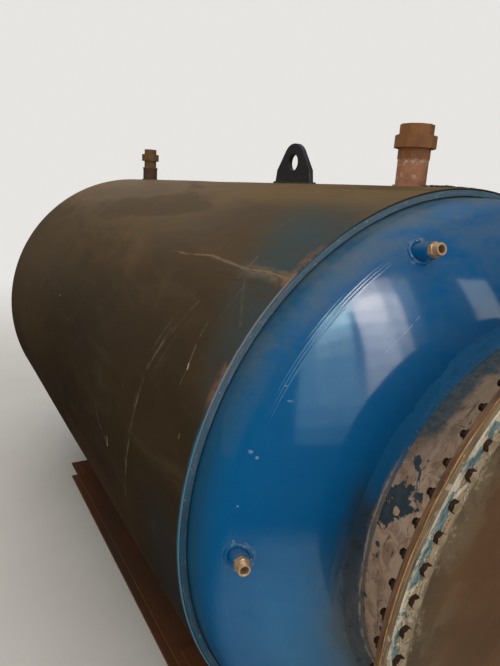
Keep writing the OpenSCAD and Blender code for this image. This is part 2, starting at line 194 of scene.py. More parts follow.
# Shader maths


def socket_name(word):
    """The name on a node's socket from its name in the code."""
    return word.replace("_", " ").title().replace("Ior", "IOR")


class Level:
    """A number that varies over a surface, so that masks are written as ordinary maths."""

    def __init__(self, tree, socket):
        self.tree = tree
        self.socket = socket

    def __add__(self, other):
        return self.tree.math("ADD", self, other)

    __radd__ = __add__

    def __sub__(self, other):
        return self.tree.math("SUBTRACT", self, other)

    def __rsub__(self, other):
        return self.tree.math("SUBTRACT", other, self)

    def __mul__(self, other):
        return self.tree.math("MULTIPLY", self, other)

    __rmul__ = __mul__

    def sway(self, amount):
        """How far it is from one half, to both sides, times an amount."""
        return (self - 0.5) * amount


class Tree:
    """An emptied node tree and the sums and masks that can be built in it."""

    def __init__(self, nodes_of):
        nodes_of.use_nodes = True
        self.node_tree = nodes_of.node_tree
        self.node_tree.nodes.clear()

    def fill(self, socket, value):
        """Links what varies to a socket, or sets the socket to what doesn't."""
        if isinstance(value, Level):
            value = value.socket
        if isinstance(value, bpy.types.NodeSocket):
            self.node_tree.links.new(value, socket)
        else:
            socket.default_value = (*value, 1) if socket.type == "RGBA" else value

    def node(self, kind, settings=None, by_index=None, **sockets):
        """Any node: its type, then its settings, then the values or links of its sockets."""
        made = self.node_tree.nodes.new("ShaderNode" + kind)
        for name, value in (settings or {}).items():
            setattr(made, name, value)
        for key, value in {**(by_index or {}), **sockets}.items():
            self.fill(made.inputs[key], value)
        return made

    def math(self, operation, first, second=0.0):
        """Any sum of two numbers, or of one."""
        made = self.node("Math", {"operation": operation}, {0: first, 1: second})
        return Level(self, made.outputs[0])

    def larger(self, first, second):
        """The larger of two levels."""
        return self.math("MAXIMUM", first, second)

    def smaller(self, first, second):
        """The smaller of two levels."""
        return self.math("MINIMUM", first, second)

    def rise(self, level, start, end):
        """0 before start and 1 after end, with a soft step between. It falls where end is below start."""
        made = self.node(
            "MapRange", {"interpolation_type": "SMOOTHSTEP"}, {0: level, 1: start, 2: end, 3: 0.0, 4: 1.0})
        return Level(self, made.outputs[0])

    def vector(self, operation, first, second=(0.0, 0.0, 0.0)):
        """Any sum of vectors that gives a vector back."""
        return self.node("VectorMath", {"operation": operation}, {0: first, 1: second}).outputs["Vector"]

    def measure(self, operation, first, second=(0.0, 0.0, 0.0)):
        """Any sum of vectors that gives a number back."""
        made = self.node("VectorMath", {"operation": operation}, {0: first, 1: second})
        return Level(self, made.outputs["Value"])

    def part(self, vector, axis):
        """One of the three numbers of a vector."""
        return Level(self, self.node("SeparateXYZ", Vector=vector).outputs[axis])


class Finish(Tree):
    """A material with one Principled surface, and the ways to build its masks."""

    def __init__(self, name, **uniform):
        self.material = bpy.data.materials.new(name)
        super().__init__(self.material)
        self.surface = self.node("BsdfPrincipled")
        self.output = self.node("OutputMaterial", Surface=self.surface.outputs[0])
        self.wear(**uniform)
        self.place = self.node("TexCoord").outputs["Object"]
        self.facing = self.node("NewGeometry").outputs["Normal"]
        split = self.node("SeparateXYZ", Vector=self.place)
        self.x, self.y, self.z = (Level(self, split.outputs[axis]) for axis in "XYZ")

    def point(self, x, y, z=0.0):
        """A place from its three numbers."""
        return self.node("CombineXYZ", X=x, Y=y, Z=z).outputs[0]

    def cloud(self, size, detail=4.0, rough=0.55, warp=0.0, stretch=(1, 1, 1), shift=0.0, at=None):
        """Soft noise between 0 and 1 whose patches are about size across."""
        place = self.vector("MULTIPLY", at or self.place, tuple(s / size for s in stretch))
        place = self.vector("ADD", place, (shift, shift * 0.7, -shift))
        made = self.node(
            "TexNoise", {"noise_dimensions": "3D"},
            Vector=place, Scale=1.0, Detail=detail, Roughness=rough, Distortion=warp)
        return Level(self, made.outputs["Fac"])

    def cells(self, size):
        """Distance to the nearest of scattered points about size apart, in units of that size."""
        place = self.vector("MULTIPLY", self.place, (1 / size,) * 3)
        made = self.node("TexVoronoi", {"feature": "F1"}, Vector=place, Scale=1.0, Randomness=1.0)
        return Level(self, made.outputs["Distance"])

    def colour(self, mask, below, above):
        """The colour below where the mask is 0 and the colour above where it is 1."""
        made = self.node("Mix", {"data_type": "RGBA", "clamp_factor": True}, {0: mask, 6: below, 7: above})
        return made.outputs[2]

    def layers(self, ground, *coats):
        """A ground colour with one coat after another on it, each a mask and a colour."""
        for mask, coat in coats:
            ground = self.colour(mask, ground, coat)
        return ground

    def up(self):
        """1 where the surface faces the sky, 0 where it is upright, below 0 underneath."""
        return self.part(self.facing, "Z")

    def round_tank(self):
        """Metres behind the jacket's front edge, distance from the axis, and the angle from the left side,
        upwards."""
        height = self.z - AXIS_HEIGHT
        angle = self.math("ARCTAN2", height, self.x * -1.0)
        radius = self.math("SQRT", self.x * self.x + height * height)
        return self.y - FRONT_EDGE, radius, angle

    def stroke(self, at, points, wander):
        """Distance to a line through the points of a flat layout, made uneven by wander."""
        parts = []
        for start, end in zip(points, points[1:]):
            first = Vector((*start, 0))
            run = Vector((*end, 0)) - first
            offset = self.vector("SUBTRACT", at, tuple(first))
            along = self.measure("DOT_PRODUCT", offset, tuple(run / run.length_squared))
            along = self.smaller(self.larger(along, 0.0), 1.0)
            nearest = self.node("VectorMath", {"operation": "SCALE"}, {0: tuple(run), 3: along}).outputs[0]
            parts.append(self.measure("DISTANCE", offset, nearest))
        return reduce(self.smaller, parts) + wander

    def relief(self, *parts):
        """Bumps one on another, each a height between 0 and 1 and its depth in metres."""
        under = {}
        for height, depth in parts:
            made = self.node("Bump", Height=height, Distance=depth, Strength=1.0, **under)
            under = {"Normal": made.outputs[0]}
        return made.outputs[0]

    def wear(self, **values):
        """Feeds the surface with what changes over it, or with what doesn't."""
        for name, value in values.items():
            self.fill(self.surface.inputs[socket_name(name)], value)
        return self.material

    def grained(self, colour, fine, roughness, spread, depth):
        """Feeds a dull surface whose fine grain spreads its roughness and gives it relief."""
        return self.wear(
            base_color=colour, roughness=roughness + fine.sway(spread), normal=self.relief((fine, depth)))


FINISHES = {}


def finish(maker):
    """Each finish is made once and shared by the pieces that wear it."""
    if maker.__name__ not in FINISHES:
        FINISHES[maker.__name__] = maker()
    return FINISHES[maker.__name__]


# Finishes


# Marks on the front head: places as metres to the right of the axis and above the floor.
HEAD_CHIPS = [
    (-0.546, 1.145, 0.0022), (-0.607, 1.029, 0.0042), (-0.599, 1.019, 0.0036), (-0.63, 0.93, 0.0026),
    (-0.636, 0.862, 0.002)]
HEAD_SCRATCHES = [
    [(-0.377, 1.207), (-0.335, 1.24), (-0.3, 1.269)],
    [(-0.546, 1.12), (-0.532, 1.119)],
]


def socket_wear(f, node, fine):
    """Where the enamel has gone in a broken ring on the head round a sensor socket."""
    foot, out = socket_axis(node)
    off = f.vector("SUBTRACT", f.place, tuple(foot))
    along = f.measure("DOT_PRODUCT", off, tuple(out))
    away = f.measure("LENGTH", f.vector("CROSS_PRODUCT", off, tuple(out))) + fine.sway(0.014)
    ring = f.rise(away, 0.033, 0.03) * f.rise(away, 0.019, 0.023) * f.rise(along, 0.014, 0.006)
    ring = ring * f.rise(f.cloud(0.014, 5, 0.65, shift=3.0), 0.48, 0.66)
    return ring * f.rise(f.cloud(0.04, 3, shift=6.0), 0.4, 0.58)


def blue_enamel():
    """Gloss blue enamel with dust at its edges, dirt round the neck, chips, worn rings at the sockets and
    painted light that makes the lower crown lighter.
    """
    f = Finish("blue_enamel", coat_roughness=0.09, specular_ior_level=0.03)
    behind, radius, angle = f.round_tank()
    flat = f.point(f.x, f.z)
    patches = f.cloud(0.5, 3, 0.5)
    fine = f.cloud(0.03, 5, 0.6)
    grit = f.cloud(0.012, 4, 0.6)
    streaks = f.cloud(0.12, 4, 0.6, stretch=(6, 1, 0.5))
    ground = f.layers(
        paint("enamel"),
        (f.rise(patches, 0.42, 0.7) * 0.5, (0.001, 0.118, 0.3)),
        (f.rise(streaks, 0.5, 0.75) * 0.25, (0.004, 0.125, 0.26)),
        # painted light: the crown low down, inside the flange's radius, lighter as if lit from below
        (f.rise(f.z, 0.9, 0.7) * f.rise(radius, 0.64, 0.56) * 0.7, (0.01, 0.17, 0.4)),
    )
    rim = f.rise(behind + f.cloud(0.05, 4) * 0.03, -0.085, 0.01)
    top = f.rise(f.up(), 0.2, 0.85) * f.rise(f.cloud(0.09, 5, 0.6, stretch=(1, 1, 2)), 0.3, 0.65)
    reach = NECK_RADIUS + f.rise(angle, 0.9, 0.25) * 0.048
    smear = f.cloud(0.03, 5, 0.62, 0.6, stretch=(2.5, 0.35, 1), at=f.point(radius, angle * 0.45))
    dirt_edge = radius + f.cloud(0.16, 5, 0.6).sway(0.06) + fine.sway(0.015) + smear.sway(0.05)
    in_front = f.rise(behind, 0.0, -0.03)
    low_dirt = f.rise(angle + smear.sway(0.5), 0.25, -0.3)
    dirt = f.rise(reach - dirt_edge, -0.012, 0.02) * f.rise(angle, 0.48, 0.28) * in_front
    haze = f.rise(reach - dirt_edge, -0.05, 0.015) * f.rise(angle, 0.6, 0.0) * in_front
    chip_field = f.cells(0.055) + f.rise(f.cloud(0.35, 2), 0.64, 0.52)
    chips = f.rise(chip_field, 0.03, 0.015) * f.rise(angle, 0.5, 0.4)
    for x, z, size in HEAD_CHIPS:
        off = f.measure("DISTANCE", flat, (x, z, 0.0)) + grit.sway(0.012)
        chips = f.larger(chips, f.rise(off, size, size * 0.4) * in_front)
    worn = f.larger(socket_wear(f, "upper_socket", fine), socket_wear(f, "lower_socket", fine))
    wander = grit.sway(0.004)
    scuffs = reduce(
        f.larger, [f.rise(f.stroke(flat, line, wander), 0.0014, 0.0003) for line in HEAD_SCRATCHES])
    scuffs = scuffs * f.rise(f.cloud(0.02, 4, shift=4), 0.35, 0.6) * in_front
    colour = f.layers(
        ground,
        (rim * 0.6, (0.022, 0.082, 0.115)),
        (top * 0.55, (0.15, 0.17, 0.165)),
        (haze * 0.6, f.colour(low_dirt, (0.01, 0.05, 0.1), (0.13, 0.2, 0.27))),
        (dirt * 0.8, f.colour(low_dirt, (0.02, 0.055, 0.1), (0.16, 0.19, 0.205))),
        (dirt * f.rise(smear, 0.5, 0.64) * 0.5, (0.05, 0.058, 0.075)),
        (worn * 0.6, (0.3, 0.35, 0.34)),
        (scuffs * 0.42, (0.36, 0.46, 0.54)),
        (chips * 0.55, (0.36, 0.46, 0.54)),
    )
    smears = f.rise(f.cloud(0.2, 5), 0.45, 0.8)
    clouded = f.rise(f.cloud(0.05, 5, 0.65, 0.8, shift=5), 0.42, 0.72)
    dull = f.smaller(rim * 0.5 + top * 0.5 + haze * 0.3 + dirt * 0.6 + worn * 0.5 + smears * 0.15, 1.0)
    relief = f.relief(
        (f.cloud(0.004, 2), 0.00006), (f.cloud(0.035, 4, 0.6), 0.001), (f.cloud(0.11, 3, 0.5, 0.5), 0.0042),
        (1 - dirt * fine - chips * 0.4, 0.0008))
    return f.wear(
        base_color=colour, roughness=0.42 + dull * 0.4, coat_weight=1 - dull * 0.9 - clouded * 0.22,
        normal=relief)


PALE = (0.27, 0.22, 0.155)
WHITE = (0.42, 0.38, 0.3)
DIRT = (0.12, 0.1, 0.068)
# The middle sheet's seam: metres behind the front edge and degrees round the tank.
JACKET_SEAM = [
    (0.84, 134.2), (0.694, 134.3), (0.561, 134.7), (0.466, 134.6), (0.342, 133.3), (0.252, 133.7),
    (0.163, 134.1), (0.091, 133.5), (0.0, 133.7)]
# Scratches and dirt lines of the jacket: points as metres behind the front edge and degrees round the tank,
# then the half width in metres, the strength and the colour.
JACKET_SCRATCHES = [
    ([(0.195, 117.2), (0.207, 120.2), (0.216, 123.9), (0.193, 129.1), (0.166, 134), (0.111, 138.2),
     (0.04, 143.8)],
     0.004, 0.5, DIRT),
    ([(0.285, 150), (0.293, 154), (0.308, 159), (0.307, 166), (0.309, 174), (0.320, 181), (0.338, 189),
     (0.36, 200)],
     0.0034, 0.6, (0.19, 0.155, 0.11)),
    ([(0.31, 157), (0.318, 163), (0.316, 170), (0.326, 179)], 0.006, 0.3, DIRT),
    ([(0.24, 143), (0.262, 148), (0.293, 155)], 0.004, 0.35, (0.16, 0.13, 0.09)),
    ([(0.215, 144), (0.247, 151), (0.27, 158)], 0.003, 0.25, (0.16, 0.13, 0.09)),
    ([(0.28, 142), (0.3, 148), (0.322, 155)], 0.005, 0.25, (0.16, 0.13, 0.09)),
    ([(0.596, 175), (0.55, 178), (0.471, 180)], 0.0024, 0.5, PALE),
    ([(0.474, 178.5), (0.47, 180.5)], 0.003, 0.9, WHITE),
    ([(0.136, 154), (0.15, 149), (0.152, 146)], 0.002, 0.35, PALE),
    ([(0.134, 154.4), (0.138, 153.5)], 0.003, 1.0, WHITE),
    ([(0.136, 154), (0.138, 159)], 0.0012, 0.5, PALE),
    ([(0.068, 164), (0.069, 164.5)], 0.003, 0.9, WHITE),
    ([(1.243, 159), (1.25, 159.3)], 0.004, 0.8, WHITE),
    ([(0.164, 131), (0.161, 136)], 0.004, 0.5, (0.2, 0.14, 0.08)),
    ([(0.15, 135.5), (0.182, 132.5)], 0.004, 0.5, (0.2, 0.14, 0.08)),
    ([(0.119, 137), (0.124, 146)], 0.002, 0.3, (0.2, 0.19, 0.16)),
    ([(0.42, 163), (0.405, 168), (0.41, 172)], 0.0014, 0.4, PALE),
]


def side(degrees):
    """Metres round the jacket from its left side upwards, for degrees round the tank from its right side."""
    return math.radians(180 - degrees) * JACKET_LAYOUT


def jacket_paint():
    """Dull olive-brown jacket paint: soft dust on top, wiped smears, rust at the seam and rim, scratches,
    painted shade underneath, painted light on the far upright sides and a painted highlight along the front
    edge.
    """
    f = Finish("jacket_paint", specular_ior_level=0.12)
    behind, _, angle = f.round_tank()
    girth = angle * JACKET_RADIUS
    sheet = f.point(behind, girth)
    up = f.up()
    smoke = f.cloud(0.5, 4, 0.55, 0.8, stretch=(1, 0.5, 1))
    marble = f.cloud(0.15, 5, 0.6, 0.9, stretch=(1, 0.5, 1))
    fine = f.cloud(0.02, 4, 0.6)
    smears = f.cloud(0.3, 4, 0.55, 1.0, stretch=(0.42, 1.3, 1), at=sheet)
    wipes = f.cloud(0.14, 5, 0.6, 1.2, stretch=(0.5, 1.4, 1), at=sheet, shift=5)
    ground = f.layers(
        paint("jacket"),
        (f.rise(smoke, 0.38, 0.66) * 0.6, (0.03, 0.019, 0.009)),
        (f.rise(marble, 0.45, 0.75) * 0.35, (0.072, 0.05, 0.026)),
        (f.rise(wipes, 0.5, 0.75) * 0.3, (0.1, 0.076, 0.046)),
    )
    dust = f.rise(up + smoke.sway(0.8) + smears.sway(0.6) + marble.sway(0.3), 0.3, 1.15)
    rubbed = (f.rise(behind + marble.sway(0.3), 0.8, 0.4)
        * f.rise(girth + smears.sway(0.3), side(108), side(122)) * f.rise(girth, side(156), side(140)))
    dust = dust * (1 - rubbed * 0.6)
    dark_smears = f.rise(smears, 0.5, 0.64) * f.rise(up, 0.05, 0.4)
    low = f.rise(up, 0.15, -0.45)
    toward_rim = behind - (girth - side(134)) * 0.55 + marble.sway(0.22) + smears.sway(0.15)
    teal_zone = (f.rise(toward_rim, 0.26, 0.07) * f.rise(girth, side(178), side(150))
        * f.rise(girth, side(104), side(126)))
    teal_zone = teal_zone * f.rise(marble, 0.3, 0.6)
    blue_edge = f.rise(behind + fine.sway(0.01) + marble.sway(0.012), 0.011, 0.005)
    blue_side = f.rise(girth, side(152), side(166))
    # painted highlight: a pale line where the sheet's front edge catches light
    edge_highlight = f.rise(behind + fine.sway(0.004), 0.0034, 0.0018) * f.rise(girth, side(130), side(137))
    rust_here = f.larger(
        f.rise(f.math("ABSOLUTE", girth - side(131)), 0.09, 0.03),
        f.rise(f.math("ABSOLUTE", girth - side(153)), 0.08, 0.03))
    rust_here = f.larger(rust_here, f.rise(f.cloud(0.3, 2, shift=9), 0.6, 0.7) * 0.6)
    rim_rust = (f.rise(behind + fine.sway(0.02) - rust_here * 0.008, 0.02, 0.003)
        * f.rise(f.cloud(0.03, 5, 0.65, shift=7) + rust_here * 0.12, 0.5, 0.66) * rust_here)
    seam_off = f.stroke(sheet, [(u, side(a)) for u, a in JACKET_SEAM], fine.sway(0.008) + marble.sway(0.01))
    seam_run = f.rise(behind, 0.8, 0.35)
    seam = (f.rise(seam_off, 0.006, 0.001)
        * f.rise(seam_run + f.cloud(0.04, 5, 0.65, shift=2).sway(2.2), 0.45, 0.9))
    seam_wide = (f.rise(seam_off + marble.sway(0.03), 0.024, 0.008)
        * f.rise(behind + fine.sway(0.06), 0.21, 0.12) * f.rise(f.cloud(0.03, 5, 0.65, shift=4), 0.34, 0.56))
    seam_core = (f.rise(f.math("ABSOLUTE", seam_off - 0.004), 0.0016, 0.0006)
        * f.rise(f.cloud(0.04, 3, shift=6), 0.46, 0.56) * f.rise(behind, 0.7, 0.3))
    breaks = f.rise(f.cloud(0.028, 4, 0.6, shift=11), 0.38, 0.6)
    edge_shade = (f.rise(behind + marble.sway(0.3), 0.3, 0.08) * f.rise(girth, side(170), side(184))
        * f.rise(girth, side(215), side(198)))
    coats = [
        (dust * 0.8, paint("dust")),
        (dark_smears * 0.55, (0.05, 0.036, 0.019)),
        # painted light: the far part of the jacket's upright sides lighter, as if lit from the left
        (f.rise(behind, 0.9, 2.1) * f.rise(up, 0.85, 0.5) * f.rise(up, -0.4, 0.0) * 0.55,
         (0.125, 0.08, 0.035)),
        # painted shade: darker where the faces turn downwards
        (low * 0.35, (0.024, 0.014, 0.006)),
        (f.rise(up + smears.sway(0.3), -0.05, -0.6) * f.rise(marble, 0.2, 0.6) * 0.7, (0.15, 0.072, 0.034)),
        (edge_shade * 0.6, (0.026, 0.03, 0.034)),
        (teal_zone * 0.85, (0.042, 0.076, 0.085)),
        (seam_wide * 0.6, (0.22, 0.15, 0.088)),
        (seam * 0.7, (0.25, 0.165, 0.09)),
        (seam_core * 0.6, (0.045, 0.03, 0.02)),
        (rim_rust * 0.6, paint("rust")),
        (blue_edge * blue_side * 0.85, (0.02, 0.1, 0.16)),
        (edge_highlight * 0.75, f.colour(blue_side, (0.2, 0.25, 0.3), (0.12, 0.24, 0.31))),
    ]
    wander = fine.sway(0.004) + marble.sway(0.012)
    for points, width, strength, tint in JACKET_SCRATCHES:
        line = f.stroke(sheet, [(u, side(a)) for u, a in points], wander)
        coats.append((f.rise(line, width * 1.4, width * 0.3) * breaks * strength, tint))
    colour = f.layers(ground, *coats)
    rough = 0.52 + dust * 0.25 + marble.sway(0.2) - low * 0.08
    return f.wear(
        base_color=colour, roughness=f.smaller(rough, 0.95),
        normal=f.relief((marble, 0.0025), (fine, 0.00025)))


def ring_enamel():
    """Blue-grey old enamel of the end rings, streaked, with pale specks and painted shade in the gaps on both
    sides of the lip.
    """
    f = Finish("ring_enamel")
    _, radius, angle = f.round_tank()
    fine = f.cloud(0.008, 4, 0.6)
    broad = f.cloud(0.12, 4, 0.6)
    low_side = f.rise(f.z, AXIS_HEIGHT + 0.3, AXIS_HEIGHT)
    specks = f.rise(fine, 0.63, 0.68)
    streak = f.rise(
        f.cloud(0.012, 5, 0.6, 0.5, stretch=(2.5, 0.2, 1), at=f.point(radius, angle * 0.7)), 0.52, 0.66)
    colour = f.layers(
        (0.065, 0.135, 0.195),
        (low_side * 0.9, (0.006, 0.062, 0.115)),
        (f.rise(broad, 0.45, 0.65) * 0.45, f.colour(low_side, (0.12, 0.12, 0.125), (0.02, 0.045, 0.07))),
        (streak * (0.55 - low_side * 0.35), (0.2, 0.23, 0.27)),
        (specks * 0.6, (0.36, 0.4, 0.44)),
        # painted shade: dark in the recessed gaps on both sides of the lip
        (f.larger(f.rise(radius, 0.6825, 0.6805), f.rise(radius, 0.6938, 0.6946)) * 0.8, (0.01, 0.03, 0.05)),
    )
    return f.grained(colour, fine, 0.5, 0.3, 0.0005)


# Blue islands left on the neck: metres behind the jacket's front edge, degrees round the tank, radius, lift.
NECK_ISLANDS = [
    (-0.262, 157.5, 0.028, 0.3), (-0.238, 162.5, 0.026, 0.3), (-0.285, 155.5, 0.014, 0.25),
    (-0.226, 158.5, 0.018, 0.25), (-0.272, 147.0, 0.006, 0.2), (-0.243, 170.5, 0.006, 0.2),
    (-0.246, 173.5, 0.005, 0.2), (-0.25, 20.0, 0.02, 0.25), (-0.27, 262.0, 0.018, 0.25),
    (-0.25, 320.0, 0.016, 0.25)]


def neck_paint():
    """Beige old paint with islands of dark blue paint, brown scars and pale torn edges."""
    f = Finish("neck_paint", specular_ior_level=0.2)
    behind, _, angle = f.round_tank()
    arc = f.point(behind, angle * NECK_RADIUS)
    fine = f.cloud(0.012, 4, 0.6)
    broad = f.cloud(0.16, 3, 0.5)
    grain = f.cloud(0.026, 5, 0.68, 0.9, stretch=(2.0, 0.55, 1), at=arc)
    torn = f.cloud(0.035, 5, 0.65, 1.2, shift=1.3)
    level = f.cloud(0.085, 5, 0.6, 0.9, shift=1.3) + broad.sway(0.35) - 0.09
    for x, turn, reach, lift in NECK_ISLANDS:
        off = f.measure("DISTANCE", arc, (x, math.radians(180 - turn) * NECK_RADIUS, 0.0))
        level = f.larger(
            level, 0.5 + lift * f.rise(off + (torn - 0.5) * reach * 3.2, reach * 1.3, reach * 0.4))
    island = f.rise(level, 0.6, 0.612)
    edge = f.larger(f.rise(level, 0.565, 0.6) - island, 0.0) * f.rise(fine, 0.48, 0.58)
    scars = f.rise(f.cloud(0.03, 5, 0.65, 1.0, shift=4), 0.6, 0.66)
    pits = f.rise(grain, 0.56, 0.66)
    blotch = f.cloud(0.045, 5, 0.65, 0.8, shift=8)
    foot = f.rise(behind + f.cloud(0.07, 4).sway(0.05), -0.262, -0.228)
    high = f.rise(angle, 0.42, 0.85)
    slate = f.rise(behind + blotch.sway(0.05) + torn.sway(0.03), -0.29, -0.247) * f.rise(angle, 0.5, 0.75)
    colour = f.layers(
        paint("old_paint"),
        (f.rise(broad, 0.45, 0.7) * 0.5, (0.26, 0.165, 0.11)),
        (f.rise(blotch, 0.48, 0.6) * 0.55, (0.2, 0.115, 0.072)),
        (f.rise(grain, 0.46, 0.36) * 0.85, (0.52, 0.4, 0.32)),
        (pits * 0.85, (0.1, 0.056, 0.04)),
        (f.rise(blotch, 0.43, 0.36) * 0.45, (0.48, 0.36, 0.285)),
        (scars * 0.8, (0.075, 0.036, 0.022)),
        (foot * 0.3, f.colour(f.rise(fine, 0.4, 0.6), (0.075, 0.065, 0.06), (0.26, 0.2, 0.165))),
        (high * (0.45 + foot * 0.4), (0.085, 0.075, 0.062)),
        (slate * f.rise(f.cloud(0.02, 4, shift=6), 0.3, 0.6) * 0.6, (0.075, 0.055, 0.048)),
        (f.rise(slate, 0.35, 1.0) * 0.92,
         f.colour(f.rise(fine, 0.4, 0.6), (0.035, 0.07, 0.09), (0.08, 0.1, 0.112))),
        (island, f.colour(f.rise(fine, 0.45, 0.62), (0.04, 0.06, 0.078), (0.06, 0.08, 0.09))),
        (edge * 0.7, (0.42, 0.38, 0.34)),
    )
    return f.wear(
        base_color=colour, roughness=0.66 - island * 0.2 + fine.sway(0.2),
        normal=f.relief((island, 0.0009), (grain, 0.001), (fine, 0.0005)))


def weld_dirt():
    """Fillet weld painted over: dirty blue at its outer toe, beige with a pale torn line at the neck."""
    f = Finish("weld_dirt", specular_ior_level=0.2)
    _, radius, angle = f.round_tank()
    fine = f.cloud(0.01, 4, 0.65)
    broad = f.cloud(0.09, 4, 0.6)
    smear = f.cloud(0.03, 5, 0.62, 0.6, stretch=(2.5, 0.35, 1), at=f.point(radius, angle * 0.45))
    near_neck = f.rise(radius + broad.sway(0.01) + fine.sway(0.006) + smear.sway(0.016), 0.438, 0.43)
    low = f.rise(angle, 0.62, 0.35)
    high = f.rise(angle + smear.sway(0.2), 0.25, 0.42)
    outer = f.layers(
        f.colour(f.rise(angle, 0.25, -0.3), (0.025, 0.06, 0.1), (0.12, 0.135, 0.15)),
        (f.rise(smear, 0.45, 0.62) * 0.5, (0.055, 0.062, 0.078)),
        (high * 0.9, (0.001, 0.12, 0.31)),
    )
    inner = f.colour(low, (0.01, 0.1, 0.22), (0.16, 0.145, 0.13))
    torn_line = f.rise(
        f.math("ABSOLUTE", radius - (NECK_RADIUS + 0.0045) + broad.sway(0.006)), 0.0018, 0.0007) * low
    colour = f.layers(
        outer,
        (near_neck * 0.9, inner),
        (f.rise(fine, 0.55, 0.68) * near_neck * 0.5, (0.32, 0.26, 0.22)),
        (f.rise(f.cloud(0.03, 5, 0.6, shift=5), 0.56, 0.64) * (0.5 - high * 0.4), (0.035, 0.034, 0.04)),
        (torn_line * f.rise(f.cloud(0.03, 3), 0.35, 0.5) * 0.65, (0.45, 0.39, 0.36)),
    )
    return f.grained(colour, fine, 0.6, 0.3, 0.0009)


def flange_rust():
    """Red-brown flange with darker patches, streaked along its rim."""
    f = Finish("flange_rust", specular_ior_level=0.2)
    behind, _, angle = f.round_tank()
    arc = f.point(behind * 3.0, angle * FLANGE_LAYOUT)
    fine = f.cloud(0.008, 5, 0.65)
    broad = f.cloud(0.07, 4, 0.6)
    streaks = f.cloud(0.03, 5, 0.6, 0.4, stretch=(3, 0.5, 1), at=arc)
    colour = f.layers(
        (0.17, 0.092, 0.05),
        (f.rise(broad, 0.45, 0.65) * 0.7, (0.085, 0.046, 0.03)),
        (f.rise(streaks, 0.5, 0.68) * 0.6, (0.27, 0.17, 0.1)),
        (f.rise(streaks, 0.46, 0.36) * 0.6, (0.06, 0.035, 0.03)),
        (f.rise(fine, 0.58, 0.7) * 0.4, (0.3, 0.2, 0.13)),
        (f.rise(f.cloud(0.04, 5, 0.6, shift=9), 0.62, 0.66) * 0.5, (0.33, 0.27, 0.2)),
    )
    return f.grained(colour, fine, 0.65, 0.3, 0.0006)


def gasket_rubber():
    """Orange-tan rubber sheet, dusty, squeezed out between the flanges."""
    f = Finish("gasket_rubber", specular_ior_level=0.2)
    fine = f.cloud(0.006, 4, 0.6)
    colour = f.layers(
        (0.4, 0.215, 0.09),
        (f.rise(f.cloud(0.05, 5, 0.62), 0.45, 0.62) * 0.8, (0.2, 0.115, 0.06)),
        # painted highlights: pinkish patches scattered by noise
        (f.rise(f.cloud(0.03, 4, shift=3), 0.56, 0.66) * 0.7, (0.42, 0.28, 0.2)),
        (f.rise(fine, 0.5, 0.7) * 0.4, (0.5, 0.36, 0.2)),
    )
    return f.grained(colour, fine, 0.75, 0.2, 0.0004)


def peeling_cream():
    """Cream paint peeling in streaks from tan rust, with strips of grey-blue paint near the edge."""
    f = Finish("peeling_cream", specular_ior_level=0.2)
    _, radius, angle = f.round_tank()
    arc = f.point(radius, angle * 0.55)
    fine = f.cloud(0.006, 5, 0.65)
    broad = f.cloud(0.14, 3, 0.5, shift=2)
    flake = f.cloud(0.022, 6, 0.68, 0.9, stretch=(2.4, 0.7, 1), at=arc)
    streak = f.cloud(0.012, 5, 0.6, 0.3, stretch=(3.0, 0.35, 1), at=arc, shift=4)
    patch = f.cloud(0.05, 5, 0.65, 0.8, shift=6)
    outside = f.rise(radius + patch.sway(0.012), 0.543, 0.551)
    rim = f.rise(radius + streak.sway(0.004), 0.5605, 0.5625)
    blue_here = f.rise(angle, 0.25, 0.32) * f.rise(angle, 0.56, 0.5)
    blue = f.rise(
        patch + flake.sway(0.3) + outside * 0.07 + blue_here * 0.13 - (1 - outside) * 0.14, 0.6, 0.615)
    cream = f.rise(flake + outside * 0.12 + broad.sway(0.3), 0.53, 0.555)
    torn = f.larger(f.rise(flake + outside * 0.12 + broad.sway(0.3), 0.505, 0.53) - cream, 0.0)
    inner = f.rise(radius + patch.sway(0.016), 0.533, 0.525)
    colour = f.layers(
        (0.4, 0.3, 0.185),
        (f.rise(broad, 0.45, 0.65) * 0.6, (0.3, 0.25, 0.155)),
        (f.rise(streak, 0.52, 0.68) * 0.6, (0.46, 0.35, 0.22)),
        (f.rise(streak, 0.45, 0.34) * 0.55, (0.13, 0.095, 0.06)),
        (torn * 0.6, (0.075, 0.048, 0.03)),
        (cream, f.colour(f.rise(fine, 0.48, 0.62), paint("cream"), (0.66, 0.62, 0.52))),
        (blue, f.colour(f.rise(flake, 0.5, 0.58), (0.1, 0.19, 0.21), (0.24, 0.28, 0.27))),
        # painted highlight: pale cream along the ring's outer rim, where its front edge catches light
        (rim * f.rise(streak, 0.4, 0.55) * 0.8, (0.6, 0.53, 0.4)),
        (inner * 0.5, (0.1, 0.078, 0.045)),
    )
    return f.wear(
        base_color=colour, roughness=0.66 + fine.sway(0.25),
        normal=f.relief((cream + blue * 0.6, 0.0009), (flake, 0.0012), (fine, 0.0005)))


